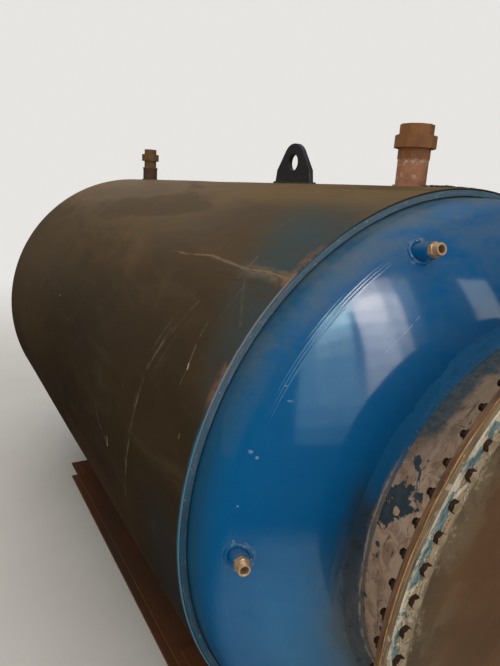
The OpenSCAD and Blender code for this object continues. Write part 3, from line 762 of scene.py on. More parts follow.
def smooth_rust():
    """Smooth red-brown rust of the cover, olive towards the clamping ring, streaked tan on its edge."""
    f = Finish("smooth_rust", specular_ior_level=0.3)
    behind, radius, angle = f.round_tank()
    arc = f.point(behind * 3.0, angle * FLANGE_LAYOUT)
    fine = f.cloud(0.01, 5, 0.6)
    broad = f.cloud(0.28, 4, 0.55, 0.5)
    blotch = f.cloud(0.07, 5, 0.6, 0.6)
    streaks = f.cloud(0.02, 5, 0.62, 0.4, stretch=(3, 0.4, 1), at=arc)
    rim = f.rise(radius + broad.sway(0.1) + blotch.sway(0.06), 0.43, 0.515)
    flecks = f.rise(radius + blotch.sway(0.1), 0.485, 0.53) * f.rise(f.cloud(0.014, 5, 0.66, 0.6), 0.54, 0.6)
    edge = f.rise(radius, 0.558, 0.5645)
    specks = f.rise(f.cells(0.03) + f.rise(f.cloud(0.2, 2, shift=3), 0.6, 0.5), 0.07, 0.045)
    rim_colour = f.layers(
        (0.21, 0.14, 0.08),
        (f.rise(streaks, 0.5, 0.64), (0.36, 0.26, 0.15)),
        (f.rise(streaks, 0.45, 0.36), (0.1, 0.085, 0.075)),
        (f.rise(f.cloud(0.03, 5, 0.65, shift=8), 0.56, 0.62) * 0.8, (0.48, 0.42, 0.32)),
    )
    colour = f.layers(
        paint("brown"),
        (f.rise(broad, 0.4, 0.7) * 0.6, (0.088, 0.044, 0.021)),
        (f.rise(blotch, 0.5, 0.75) * 0.4, (0.165, 0.09, 0.046)),
        (rim * 0.75, f.colour(f.rise(blotch, 0.4, 0.6), (0.072, 0.056, 0.03), (0.16, 0.125, 0.072))),
        (flecks * 0.7, (0.36, 0.29, 0.19)),
        (edge, rim_colour),
        (specks * 0.6, (0.25, 0.17, 0.11)),
    )
    return f.wear(
        base_color=colour, roughness=0.5 + fine.sway(0.2) + rim * 0.12,
        normal=f.relief((f.cloud(0.05, 5, 0.6), 0.001), (fine, 0.0003)))


def bolt_rust():
    """Dark red-brown rust of the bolts, tan with old paint on the faces in front."""
    f = Finish("bolt_rust", specular_ior_level=0.2)
    fine = f.cloud(0.005, 4, 0.6)
    each = f.cloud(0.05, 1, 0.5)
    to_front = f.part(f.facing, "Y") * -1.0
    in_front = f.rise(f.y, COVER_FACE + 0.004, COVER_FACE - 0.004) * f.rise(to_front, 0.4, 0.8)
    colour = f.layers(
        (0.042, 0.021, 0.012),
        (f.rise(fine, 0.52, 0.7) * 0.4, (0.11, 0.055, 0.03)),
        (in_front * 0.9, (0.3, 0.22, 0.135)),
        (in_front * f.rise(each, 0.48, 0.58) * 0.7, (0.4, 0.32, 0.21)),
        (f.rise(fine, 0.55, 0.7) * 0.35, (0.15, 0.085, 0.045)),
    )
    return f.wear(
        base_color=colour, roughness=0.68 + fine.sway(0.3), metallic=0.1, normal=f.relief((fine, 0.0005)))


def tarnished_brass():
    """Brass gone dull, with brown tarnish and bright worn edges."""
    f = Finish("tarnished_brass")
    fine = f.cloud(0.004, 4, 0.6)
    broad = f.cloud(0.02, 4, 0.6)
    tarnish = f.rise(broad, 0.42, 0.66)
    colour = f.layers(
        paint("brass"),
        (tarnish * 0.7, (0.3, 0.17, 0.095)),
        (f.rise(fine, 0.56, 0.7) * 0.5, (0.6, 0.45, 0.27)),
    )
    return f.wear(
        base_color=colour, roughness=0.38 + tarnish * 0.25, metallic=0.55 - tarnish * 0.25,
        normal=f.relief((fine, 0.0003)))


def rusty_pipe():
    """Red-brown rust with cream paint left in flakes."""
    f = Finish("rusty_pipe", specular_ior_level=0.2)
    fine = f.cloud(0.005, 5, 0.65)
    broad = f.cloud(0.05, 4, 0.6)
    low = f.rise(f.z, TANK_TOP + 0.066, TANK_TOP + 0.06)
    under_body = f.rise(f.z, TANK_TOP + 0.05, TANK_TOP + 0.062)
    right_edge = f.rise(f.x + broad.sway(0.01), 0.022, 0.027) * f.rise(f.x, 0.038, 0.033)
    here = f.larger(under_body, right_edge)
    flakes = f.rise(f.cloud(0.014, 5, 0.65, 0.6, shift=2) + here * 0.1, 0.56, 0.62) * low
    colour = f.layers(
        paint("pipe"),
        (f.rise(broad, 0.4, 0.7) * 0.5, (0.14, 0.06, 0.028)),
        (low * 0.75, (0.47, 0.21, 0.125)),
        (low * f.rise(broad, 0.5, 0.65) * 0.4, (0.14, 0.058, 0.036)),
        (f.rise(fine, 0.5, 0.7) * 0.4, (0.34, 0.165, 0.085)),
        (flakes * 0.8, (0.52, 0.38, 0.27)),
    )
    return f.wear(
        base_color=colour, roughness=0.75 + fine.sway(0.25),
        normal=f.relief((flakes, 0.0007), (fine, 0.0008)))


def dark_pipe():
    """Dull purple-brown of the small inlet, lighter towards its top."""
    f = Finish("dark_pipe", specular_ior_level=0.2)
    fine = f.cloud(0.005, 5, 0.65)
    broad = f.cloud(0.04, 4, 0.6)
    high = f.rise(f.z, TANK_TOP + 0.06, TANK_TOP + 0.09)
    colour = f.layers(
        paint("dark_pipe"),
        (f.rise(broad, 0.45, 0.65) * 0.6, (0.05, 0.03, 0.028)),
        (high * 0.5, (0.15, 0.098, 0.04)),
        (f.rise(f.z, TANK_TOP + 0.062, TANK_TOP + 0.05) * 0.75, (0.062, 0.04, 0.038)),
        (f.rise(fine, 0.5, 0.7) * 0.5, (0.17, 0.1, 0.065)),
    )
    return f.grained(colour, fine, 0.68, 0.25, 0.0007)


def lug_enamel():
    """Dark enamel of the lug, dusty low down, with lighter patches and rubbed specks."""
    f = Finish("lug_enamel")
    fine = f.cloud(0.006, 4, 0.6)
    broad = f.cloud(0.05, 4, 0.6)
    low = f.rise(f.z, TANK_TOP + 0.03, TANK_TOP)
    sheen = f.rise(broad, 0.5, 0.75)
    colour = f.layers(
        paint("lug"),
        (sheen * 0.5, (0.03, 0.026, 0.03)),
        (low * f.rise(fine, 0.4, 0.6) * 0.6, (0.075, 0.055, 0.035)),
        (f.rise(fine, 0.62, 0.72) * 0.5, (0.1, 0.08, 0.06)),
    )
    return f.wear(
        base_color=colour, roughness=0.38 + sheen * 0.2 + low * 0.25, normal=f.relief((broad, 0.0008)))


def base_primer():
    """Red-brown primer of the base, dusty on its upper faces and scuffed."""
    f = Finish("base_primer", specular_ior_level=0.35)
    fine = f.cloud(0.008, 5, 0.6)
    broad = f.cloud(0.2, 5, 0.6, stretch=(1, 0.4, 1))
    up = f.rise(f.up(), 0.5, 0.9)
    scuffs = f.rise(f.cloud(0.05, 6, 0.7, stretch=(4, 1, 1)), 0.62, 0.7)
    colour = f.layers(
        paint("primer"),
        (f.rise(broad, 0.4, 0.7) * 0.7, (0.035, 0.019, 0.01)),
        (up * f.rise(broad, 0.35, 0.7) * 0.5, (0.1, 0.058, 0.032)),
        (scuffs * 0.5, (0.15, 0.09, 0.05)),
        (f.rise(fine, 0.56, 0.7) * 0.4, (0.12, 0.055, 0.028)),
    )
    return f.grained(colour, fine, 0.66, 0.25, 0.0007)


def mineral_wool():
    """Matted brown-yellow fibres."""
    f = Finish("mineral_wool")
    strands = f.cloud(0.01, 5, 0.7, 2.0, stretch=(1, 4, 1))
    colour = f.layers((0.2, 0.17, 0.09), (f.rise(strands, 0.4, 0.65), (0.09, 0.075, 0.04)))
    return f.wear(base_color=colour, roughness=0.95, normal=f.relief((strands, 0.003)))


def loose_fibres():
    """Dark olive dirt in a tuft of mineral wool."""
    f = Finish("loose_fibres")
    fine = f.cloud(0.01, 3)
    colour = f.layers((0.045, 0.04, 0.022), (f.rise(fine, 0.45, 0.65), (0.12, 0.1, 0.06)))
    return f.wear(base_color=colour, roughness=0.95, normal=f.relief((fine, 0.0005)))


# Mesh tools


ROUND_STEPS = 320  # how many faces go round the large round pieces


def piece(name, part, look, slot, *replaced, sharp=35):
    """One mesh of the boiler from its points and faces, in place, riding on it and wearing its finish."""
    points, faces = part
    mesh = bpy.data.meshes.new(name)
    mesh.from_pydata([tuple(p) for p in points], [], faces)
    mesh.validate()
    mesh.update()
    mesh.shade_smooth()
    mesh.set_sharp_from_angle(angle=math.radians(sharp))
    made = bpy.data.objects.new(name, mesh)
    bpy.context.scene.collection.objects.link(made)
    mesh.materials.append(finish(look))
    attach(made, "root")
    if replaced:
        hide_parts(*replaced)


def keep(look, *nodes):
    """Gives CAD nodes whose shape is right their finish."""
    for node in nodes:
        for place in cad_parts[node].material_slots:
            place.material = finish(look)


def clamped(value):
    """A value held between 0 and 1."""
    return min(1.0, max(0.0, value))


def noise_at(x, y, z):
    """Smooth unevenness between about -1 and 1."""
    return unevenness.noise(Vector((x, y, z)))


def noise_round(angle, count, third):
    """Unevenness that closes on itself once round the tank."""
    return noise_at(math.cos(angle) * count, math.sin(angle) * count, third)


def off_axis(point):
    """Distance of a point from the tank's axis."""
    return math.hypot(point.x, point.z - AXIS_HEIGHT)


def circle(steps):
    """Directions round a circle in plan, the first one once more at the end."""
    angles = (2 * math.pi * i / steps for i in range(steps + 1))
    return [Vector((math.cos(angle), math.sin(angle), 0)) for angle in angles]


def strips(rows, count, closed=True, wrapped=False, flipped=False, capped=False):
    """Faces between neighbouring rows of count points. Closed joins the ends of each row, wrapped joins the
    last row to the first, flipped turns the faces over, capped fills the first and the last row."""
    faces = []
    for row in range(rows if wrapped else rows - 1):
        a, b = row * count, (row + 1) % rows * count
        for k in range(count if closed else count - 1):
            m = (k + 1) % count
            faces.append((a + k, a + m, b + m, b + k) if flipped else (a + k, b + k, b + m, a + m))
    if capped:
        first, last = tuple(range(count)), tuple(range((rows - 1) * count, rows * count))
        faces += [first[::-1], last] if flipped else [first, last[::-1]]
    return faces


def turned(profile, steps, where=Matrix.Identity(4), closed=True, shift=None):
    """Points and faces of a profile of (radius, height) turned round local Z.
    shift(angle, index, height) may move a point outwards by what it gives back."""
    points = []
    for i in range(steps):
        angle = 2 * math.pi * i / steps
        for k, (radius, height) in enumerate(profile):
            r = radius + (shift(angle, k, height) if shift else 0.0)
            points.append(where @ Vector((r * math.cos(angle), r * math.sin(angle), height)))
    return points, strips(steps, len(profile), closed, wrapped=True)


def joined(parts):
    """Several (points, faces) as one."""
    points, faces = [], []
    for some_points, some_faces in parts:
        start = len(points)
        points += list(some_points)
        faces += [tuple(start + i for i in face) for face in some_faces]
    return points, faces


def moved(part, where):
    """A part's points moved by a matrix, with its faces."""
    return [where @ Vector(p) for p in part[0]], part[1]


def frame_along(start, direction):
    """A frame at start whose local Z runs along a direction."""
    z = Vector(direction).normalized()
    x = Vector((0, 0, 1)).cross(z).normalized()
    y = z.cross(x)
    return Matrix((
        (x.x, y.x, z.x, start[0]), (x.y, y.y, z.y, start[1]), (x.z, y.z, z.z, start[2]), (0, 0, 0, 1)))


def hexagon_block(across_flats, height, bore=0.0, chamfer_both=False, steps=24):
    """A hexagon with turned-off corners on local Z from 0 to height, with a bore or a closed top."""
    flat = across_flats / 2
    turned_off = flat * 0.97
    slope = 0.577  # the chamfer's 30 degrees
    points = []
    for i in range(steps):
        angle = 2 * math.pi * i / steps
        corner = flat / math.cos((angle + math.pi / 6) % (math.pi / 3) - math.pi / 6)
        drop = (corner - turned_off) * slope
        column = [(turned_off, 0.0), (corner, drop)] if chamfer_both else [(corner, 0.0)]
        column += [(corner, height - drop), (turned_off, height)]
        if bore:
            column += [(bore, height), (bore, 0.0)]
        points += [Vector((r * math.cos(angle), r * math.sin(angle), z)) for r, z in column]
    count = len(column)
    faces = strips(steps, count, closed=bool(bore), wrapped=True)
    if not bore:
        faces += [(
            (i + 1) * count - 1, (i + 1) % steps * count + count - 1, len(points)) for i in range(steps)]
        points.append(Vector((0, 0, height * 1.02)))
    return points, faces


def bead(path, width, height, seed, ripple=0.35):
    """A weld bead along a list of (point, outward, across): a rippled half-round rope."""
    sides, sunk = 7, 0.001
    points = []
    for n, (at, out, across) in enumerate(path):
        swell = 1 + ripple * noise_at(n * 0.9, seed, 0.3)
        step = 1 + ripple * 0.5 * math.sin(n * 2.1)
        for k in range(sides):
            angle = math.pi * k / (sides - 1)
            wide = math.cos(angle) * width * swell / 2
            tall = math.sin(angle) * height * swell * step - sunk
            points.append(at + across * wide + out * tall)
    return points, strips(len(path), sides, closed=False, flipped=True)


def crown_end():
    """Angle off the axis where the head's crown meets its knuckle, seen from the crown's centre."""
    sizes = tank_sizes()
    return math.asin((HEAD_RADIUS - sizes.knuckle) / (sizes.crown - sizes.knuckle))


def dish_profile(start, inset, crown_steps, knuckle_steps):
    """Points of the dished head from a radius outwards: crown, knuckle and straight part, set in by inset."""
    sizes = tank_sizes()
    crown, knuckle, straight = sizes.crown, sizes.knuckle, sizes.head_straight
    centre = straight - math.sqrt((crown - knuckle) ** 2 - (HEAD_RADIUS - knuckle) ** 2)
    crown, small, end = crown - inset, knuckle - inset, crown_end()
    first = math.asin(start / crown)
    found = []
    for i in range(crown_steps):
        angle = first + (end - first) * i / crown_steps
        found.append((crown * math.sin(angle), centre + crown * math.cos(angle)))
    for i in range(knuckle_steps + 1):
        angle = end + (math.pi / 2 - end) * i / knuckle_steps
        found.append((HEAD_RADIUS - knuckle + small * math.sin(angle), straight + small * math.cos(angle)))
    return found


def dish_height(radius):
    """How far the head stands in front of the jacket edge at a radius."""
    radii, heights = zip(*dish_profile(0.001, 0.0, 120, 60))
    return float(np.interp(radius, radii, heights))


def onto_head(at, out, rounds):
    """Where the line through a point along out meets the dished head."""
    for _ in range(rounds):
        at = at - out * (FRONT_EDGE - at.y - dish_height(off_axis(at)))
    return at


def centre_of_points(node):
    """The mean of a CAD node's points."""
    return Vector(np.array([v.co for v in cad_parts[node].data.vertices]).mean(0))


def socket_axis(node):
    """Foot and direction of a sensor socket, from its fitting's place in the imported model."""
    base = centre_of_points(node)
    out = (centre_of_points(node.replace("socket", "brass_fitting")) - base).normalized()
    return onto_head(base, out, 12), out


# Pieces


PANEL_STEPS = []


def show_on_panel(step):
    """Keeps an operator for the panel and for main, in the order they are written here."""
    PANEL_STEPS.append(step)
    return step


# Dents of the jacket: metres behind the front edge, degrees round the tank, reach and depth.
JACKET_DENTS = (
    (1.45, 171, 0.09, 0.0035), (0.62, 152, 0.16, 0.0025), (0.9, 186, 0.2, 0.003), (0.2, 196, 0.1, 0.002),
    (1.9, 20, 0.18, 0.003), (0.5, 30, 0.2, 0.003), (1.2, 80, 0.25, 0.002), (1.75, 140, 0.2, 0.003))
# The rounded free edge of the first and last sheet: metres from the edge, and out of the surface.
JACKET_HEM = ((0.0, -0.0014), (0.0007, -0.0004), (0.002, 0.0))


@show_on_panel
class BOILER_OT_jacket(bpy.types.Operator):
    """Builds the three jacket sheets with their laps, dents and hemmed edges"""

    bl_idname = "boiler.jacket"
    bl_label = "Jacket sheets"

    def execute(self, context):
        names = ("front_jacket_sheet", "middle_jacket_sheet", "rear_jacket_sheet")
        start, longest_face, rear_seam_turn = 0.0, 0.025, 0.35
        for name in names:
            end = front_and_rear(name)[1] - FRONT_EDGE
            rows = max(24, int((end - start) / longest_face))
            loop = [(start, 0.0)] if start else [(start + off, drop) for off, drop in JACKET_HEM]
            loop += [(start + (end - start) * i / rows, 0.0) for i in range(1, rows)]
            last = name == names[-1]
            loop += [(end - off, drop) for off, drop in reversed(JACKET_HEM)] if last else [(end, 0.0)]
            loop += [(place, -tank_sizes().sheet) for place in (end, (start + end) / 2, start)]
            seam = tank_sizes().seam_angle + (rear_seam_turn if last else 0.0)
            piece(name + "_skin", self.rolled(loop, seam), jacket_paint, "jacket_paint", name)
            start = end
        return {"FINISHED"}

    def rolled(self, loop, seam):
        """A sheet rolled round the tank from its section, closing on itself in a lap at the seam's angle."""
        steps, round_once = 300, 2 * math.pi
        lap = tank_sizes().lap / JACKET_RADIUS
        angles = {seam + (round_once + lap) * i / steps for i in range(steps + 1)}
        angles = sorted(angles | {seam + lap, seam + lap * 1.25, seam + round_once - 0.004})
        points = []
        for angle in angles:
            over = angle - seam
            under_lap = 1 - clamped((over - lap) / (lap * 0.25))
            on_lap = clamped((over - (round_once - 0.006)) / 0.006)
            for behind, drop in loop:
                inner = over >= round_once - 0.004 and drop <= -0.002
                r = (self.radius_at(behind, angle) + 0.0001 * (on_lap - under_lap)
                    + (-0.0021 if inner else drop))
                points.append((r * math.cos(angle), FRONT_EDGE + behind, AXIS_HEIGHT + r * math.sin(angle)))
        return points, strips(len(angles), len(loop), capped=True)

    def radius_at(self, behind, angle):
        """The sheet's outer radius with its waves and dents."""
        wave = noise_at(behind * 2.2, math.cos(angle) * 1.6, math.sin(angle) * 1.6)
        depth = wave * tank_sizes().unevenness
        for at, degrees, reach, deep in JACKET_DENTS:
            turn = (angle - math.radians(degrees) + math.pi) % (2 * math.pi) - math.pi
            off = math.hypot(behind - at, turn * JACKET_RADIUS) / reach
            if off < 1:
                depth -= deep * (1 - off * off) ** 2
        return JACKET_RADIUS - 0.0012 + depth


@show_on_panel
class BOILER_OT_heads(bpy.types.Operator):
    """Builds the dished heads with their forming lines and hollows"""

    bl_idname = "boiler.heads"
    bl_label = "Dished heads"

    def execute(self, context):
        overlap, wall = 0.03, 0.01
        for name, where, start in (("front_head", FRONT, NECK_RADIUS + 0.0004), ("rear_head", REAR, 0.004)):
            profile = dish_profile(start, 0.0, 56, 26) + [(HEAD_RADIUS, 0.012), (HEAD_RADIUS, -overlap)]
            if name == "front_head":
                profile = self.with_forming_lines(profile)
            profile += [(HEAD_RADIUS - wall, -overlap)] + dish_profile(start, wall, 10, 6)[::-1]
            points, faces = turned(profile, ROUND_STEPS, where)
            self.hollow(points, name)
            piece(name + "_skin", (points, faces), blue_enamel, "blue_paint", name, sharp=50)
        return {"FINISHED"}

    def with_forming_lines(self, profile):
        """Fine ridges that the forming left where crown and knuckle meet."""
        line, reach, ridge = tank_sizes().crown * math.sin(crown_end()), 0.009, 0.0002
        found = [p for p in profile if abs(p[0] - line) > reach]
        split = next(i for i, p in enumerate(found) if p[0] > line)
        fine = []
        for i in range(25):
            radius = line - reach + 2 * reach * i / 24
            fine.append((radius, dish_height(radius) + ridge * (1 - math.cos(2 * math.pi * i / 6)) / 2))
        return found[:split] + fine + found[split:]

    def hollow(self, points, name):
        """Shallow hollows over the dished surface, so that reflections waver."""
        for p in points:
            radius = off_axis(p)
            near_edge = clamped((HEAD_RADIUS - radius) / 0.06)
            near_neck = clamped((radius - NECK_RADIUS) / 0.05) if name == "front_head" else 1.0
            depth = noise_at(p.x * 4.5, p.z * 4.5, 1.7) + 0.4 * noise_at(p.x * 11, p.z * 11, 5.1)
            p.y += depth * tank_sizes().unevenness * near_edge * near_neck


@show_on_panel
class BOILER_OT_end_rings(bpy.types.Operator):
    """Builds the angle rings that close the insulation at both ends"""

    bl_idname = "boiler.end_rings"
    bl_label = "End rings"

    def execute(self, context):
        outside, inside, half_lip = half_width("insulation"), HEAD_RADIUS + 0.0003, 0.0072
        lip_out, lip_in = (outside + inside) / 2 + half_lip, (outside + inside) / 2 - half_lip
        profile = [
            (inside, -0.012), (outside, -0.012), (outside, -0.004),
            (lip_out, -0.004), (lip_out, -0.0012), (lip_out - 0.001, 0.0),
            (lip_in + 0.001, 0.0), (lip_in, -0.0012), (lip_in, -0.004), (inside, -0.004)]

        def wobble(angle, index, height):
            return 0.0006 * noise_round(angle, 9, 0.5) if 3 <= index <= 8 else 0.0

        for name, where in (("front_end_ring", FRONT), ("rear_end_ring", REAR)):
            ring = turned(profile, ROUND_STEPS, where, shift=wobble)
            piece(name + "_angle", ring, ring_enamel, "blue_paint", name)
        return {"FINISHED"}


@show_on_panel
class BOILER_OT_neck(bpy.types.Operator):
    """Builds the neck and the weld that joins it to the head"""

    bl_idname = "boiler.neck"
    bl_label = "Neck and weld"

    def execute(self, context):
        rear, front = ahead_of_edge("neck")
        inside, steps = NECK_RADIUS - 0.012, 40
        profile = [(NECK_RADIUS, rear + (front - rear) * i / steps) for i in range(steps + 1)]
        profile += [(inside, front), (inside, rear)]

        def dents(angle, index, height):
            return 0.0012 * noise_round(angle, 3, height * 8) if index <= steps else 0.0

        piece("neck_shell", turned(profile, 300, FRONT, shift=dents), neck_paint, "neck_paint", "neck")
        self.weld()
        return {"FINISHED"}

    def weld(self):
        """The hollow fillet from the head to the neck, rippled by its runs."""
        width, leg, steps = 0.03, 0.01, 14
        inside = NECK_RADIUS + 0.0005
        profile = []
        for i in range(steps + 1):
            turn = math.pi / 2 * i / steps
            radius = inside + width * (1 - math.sin(turn))
            profile.append((radius, dish_height(radius) + 0.0004 + leg * (1 - math.cos(turn))))
        profile.append((inside, dish_height(NECK_RADIUS)))

        def ripple(angle, index, height):
            if index in (0, steps, steps + 1):
                return 0.0
            runs = 0.0005 * math.sin(angle * NECK_RADIUS / 0.0032 + index * 0.5)
            return math.sin(math.pi * index / steps) * (runs + 0.0016 * noise_round(angle, 22, index * 0.35))

        ring = turned(profile, 760, FRONT, shift=ripple)
        piece("neck_weld", ring, weld_dirt, "weld_metal", "neck_weld_ring")


@show_on_panel
class BOILER_OT_cover(bpy.types.Operator):
    """Builds the flange, gasket, cover plate and clamping ring with worn edges"""

    bl_idname = "boiler.cover"
    bl_label = "Flange and cover"

    edge = 0.0012

    def execute(self, context):
        self.ring("neck_flange_disc", "neck_flange", flange_rust, "flange_rust",
                  FLANGE_RADIUS, NECK_RADIUS + 0.0004, 1.0, 0.0012)
        self.ring("cover_gasket_sheet", "cover_gasket", gasket_rubber, "gasket_rubber",
                  FLANGE_RADIUS + 0.0008, NECK_RADIUS, 4.0, 0.0022)
        self.ring("clamping_ring", "cover_ring", peeling_cream, "ring_paint",
                  FLANGE_RADIUS, 0.524, 7.0, 0.0012)
        self.plate()
        return {"FINISHED"}

    def ring(self, name, node, look, slot, outside, inside, seed, deep):
        """A flat ring with small chamfers, its rim worn by up to about deep."""
        low, high = ahead_of_edge(node)
        edge = self.edge
        profile = [
            (inside, low), (outside - edge, low), (outside, low + edge),
            (outside, high - edge), (outside - edge, high), (inside, high)]

        def worn(angle, index, height):
            return deep * noise_round(angle, 14, seed + height * 40) if 0 < index < 5 else 0.0

        piece(name, turned(profile, ROUND_STEPS, FRONT, shift=worn), look, slot, node)

    def plate(self):
        """The cover plate, its face slightly uneven inside the clamping ring."""
        low, high = ahead_of_edge("cover_plate")
        steps, rim = 300, FLANGE_RADIUS - self.edge
        profile = [(0.004, low), (rim, low), (FLANGE_RADIUS, low + self.edge)]
        profile += [(FLANGE_RADIUS, high - self.edge), (rim, high)]
        profile += [(FLANGE_RADIUS * i / 26, high) for i in range(25, 0, -1)] + [(0.004, high)]
        points, faces = turned(profile, steps, FRONT)
        for p in points:
            if off_axis(p) < 0.5 and p.y < FRONT_EDGE - low - 0.004:
                p.y += 0.0009 * noise_at(p.x * 5, p.z * 5, 9.0)
        count = len(profile)
        faces.append(tuple(i * count + count - 1 for i in range(steps)))
        piece("cover_plate_disc", (points, faces), smooth_rust, "cover_rust", "cover_plate")


@show_on_panel
class BOILER_OT_cover_bolts(bpy.types.Operator):
    """Builds the hexagon bolts of the cover with their nuts behind the flange"""

    bl_idname = "boiler.cover_bolts"
    bl_label = "Cover bolts"

    def execute(self, context):
        sizes = bolt_sizes()
        thick = 0.0022
        head = hexagon_block(sizes.across_flats, sizes.nut_height)
        nut = hexagon_block(sizes.across_flats, sizes.nut_height, chamfer_both=True)
        washer = turned([
            (0.0062, 0), (0.0118, 0), (0.0122, 0.0004), (0.0122, thick - 0.0004), (0.0118, thick),
            (0.0062, thick)], 20)
        stud = self.stud_end()
        flip = Matrix.Rotation(math.pi, 4, "X")
        fronts, rears = [], []
        for i in range(sizes.count):
            turn = sizes.first_angle + i * 2 * math.pi / sizes.count
            spin = Matrix.Rotation((i * 2.399) % (2 * math.pi), 4, "Z")
            across = Vector((sizes.circle * math.cos(turn), sizes.circle * math.sin(turn), 0))
            at_front = across + Vector((0, 0, FRONT_EDGE - COVER_FACE))
            at_rear = across + Vector((0, 0, ahead_of_edge("neck_flange")[0]))
            fronts.append(moved(head, FRONT @ Matrix.Translation(at_front) @ spin))
            behind = FRONT @ Matrix.Translation(at_rear) @ flip
            rears += [
                moved(washer, behind),
                moved(nut, behind @ Matrix.Translation((0, 0, thick)) @ spin),
                moved(stud, behind @ Matrix.Translation((0, 0, sizes.nut_height + 0.0018)))]
        piece("cover_bolt_heads", joined(fronts), bolt_rust, "flange_rust", sharp=25)
        piece("cover_bolt_nuts", joined(rears), bolt_rust, "flange_rust", sharp=25)
        return {"FINISHED"}

    def stud_end(self):
        """The threaded end that stands out of a nut."""
        sizes = bolt_sizes()
        half, turns = sizes.diameter / 2, 7
        pitch = sizes.stud_end / (turns + 1)
        profile = [(half * 0.999, -0.001)]
        for i in range(turns):
            profile += [(half, pitch * (0.6 + i)), (half - 0.0007, pitch * (1.1 + i))]
        profile += [(half - 0.0012, sizes.stud_end - 0.0003), (0.0004, sizes.stud_end)]
        return turned(profile, 14, closed=False)


@show_on_panel
class BOILER_OT_sensor_fittings(bpy.types.Operator):
    """Builds the two sensor sockets with their weld and the brass fittings"""

    bl_idname = "boiler.sensor_fittings"
    bl_label = "Sensor fittings"

    def execute(self, context):
        radius, bore, sunk, hexagon = 0.018, 0.0082, -0.02, 0.012
        for side, stand in (("upper", 0.032), ("lower", 0.017)):
            foot, out = socket_axis(side + "_socket")
            where = frame_along(foot, out)
            profile = [(radius, sunk), (radius, stand - 0.0015), (radius - 0.0015, stand)]
            profile += [(bore, stand), (bore, sunk)]
            boss = turned(profile, 64, where)
            piece(side + "_socket_boss", boss, blue_enamel, "blue_paint", side + "_socket")
            self.weld(side, where, out, radius)
            start = stand + hexagon
            profile = [(0.0075, start)]
            for i in range(6):
                profile += [(0.012, start + 0.0004 + i * 0.0017), (0.0113, start + 0.0012 + i * 0.0017)]
            profile += [(0.012, start + 0.0108), (0.0112, start + 0.012)]
            profile += [(0.0086, start + 0.012), (0.0076, start + 0.011)]
            block = hexagon_block(0.027, hexagon, 0.0075, True, 48)
            plug = joined([
                moved(block, where @ Matrix.Translation((0, 0, stand))), turned(profile, 48, where)])
            piece(side + "_brass_plug", plug, tarnished_brass, "brass", side + "_brass_fitting", sharp=28)
        return {"FINISHED"}

    def weld(self, side, where, out, radius):
        """A painted fillet weld where the socket meets the dished head."""
        path = []
        for direction in circle(96):
            across = (where.to_3x3() @ direction).normalized()
            path.append((onto_head(where.translation + across * (radius + 0.0035), out, 3), out, across))
        rope = bead(path, 0.01, 0.0042, seed=len(side), ripple=0.2)
        piece(side + "_socket_weld", rope, blue_enamel, "blue_paint")


@show_on_panel
class BOILER_OT_pipe_unions(bpy.types.Operator):
    """Finishes the pipe stubs and unions on top and gives them their collar and welds"""

    bl_idname = "boiler.pipe_unions"
    bl_label = "Pipe unions"

    def execute(self, context):
        keep(rusty_pipe, "outlet_stub", "outlet_union_body", "outlet_union_nut", "outlet_union_tail")
        keep(
            dark_pipe, "inlet_stub", "inlet_coupling", "inlet_union_body", "inlet_union_nut",
            "inlet_union_tail")
        foot = self.foot_weld(middle("outlet_stub"), 0.03805)
        piece("outlet_beads", foot, rusty_pipe, "rusty_pipe")
        centre, radius = middle("inlet_stub"), 0.0365
        collar = joined([self.collar(centre, radius), self.foot_weld(centre, radius)])
        piece("inlet_beads", collar, dark_pipe, "dark_pipe")
        return {"FINISHED"}

    def collar(self, centre, radius):
        """The raised bead round the top of the inlet's coupling."""
        inner, low, full = radius - 0.006, radius + 0.0005, radius + 0.0022
        profile = [(inner, 0.0), (low, 0.0), (full, 0.0015), (full, 0.0055), (low, 0.007), (inner, 0.007)]
        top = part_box("inlet_coupling")[1].z
        return turned(profile, 64, Matrix.Translation((centre.x, centre.y, top - 0.0075)))

    def foot_weld(self, centre, radius):
        """The weld where a stub meets the jacket."""
        path = []
        for across in circle(144):
            at = Vector((centre.x, centre.y, 0)) + across * (radius + 0.002)
            at.z = AXIS_HEIGHT + math.sqrt(JACKET_RADIUS ** 2 - at.x ** 2) - 0.0008
            path.append((at, (across * 0.3 + Vector((0, 0, 1))).normalized(), across))
        return bead(path, 0.007, 0.0035, seed=3.0)


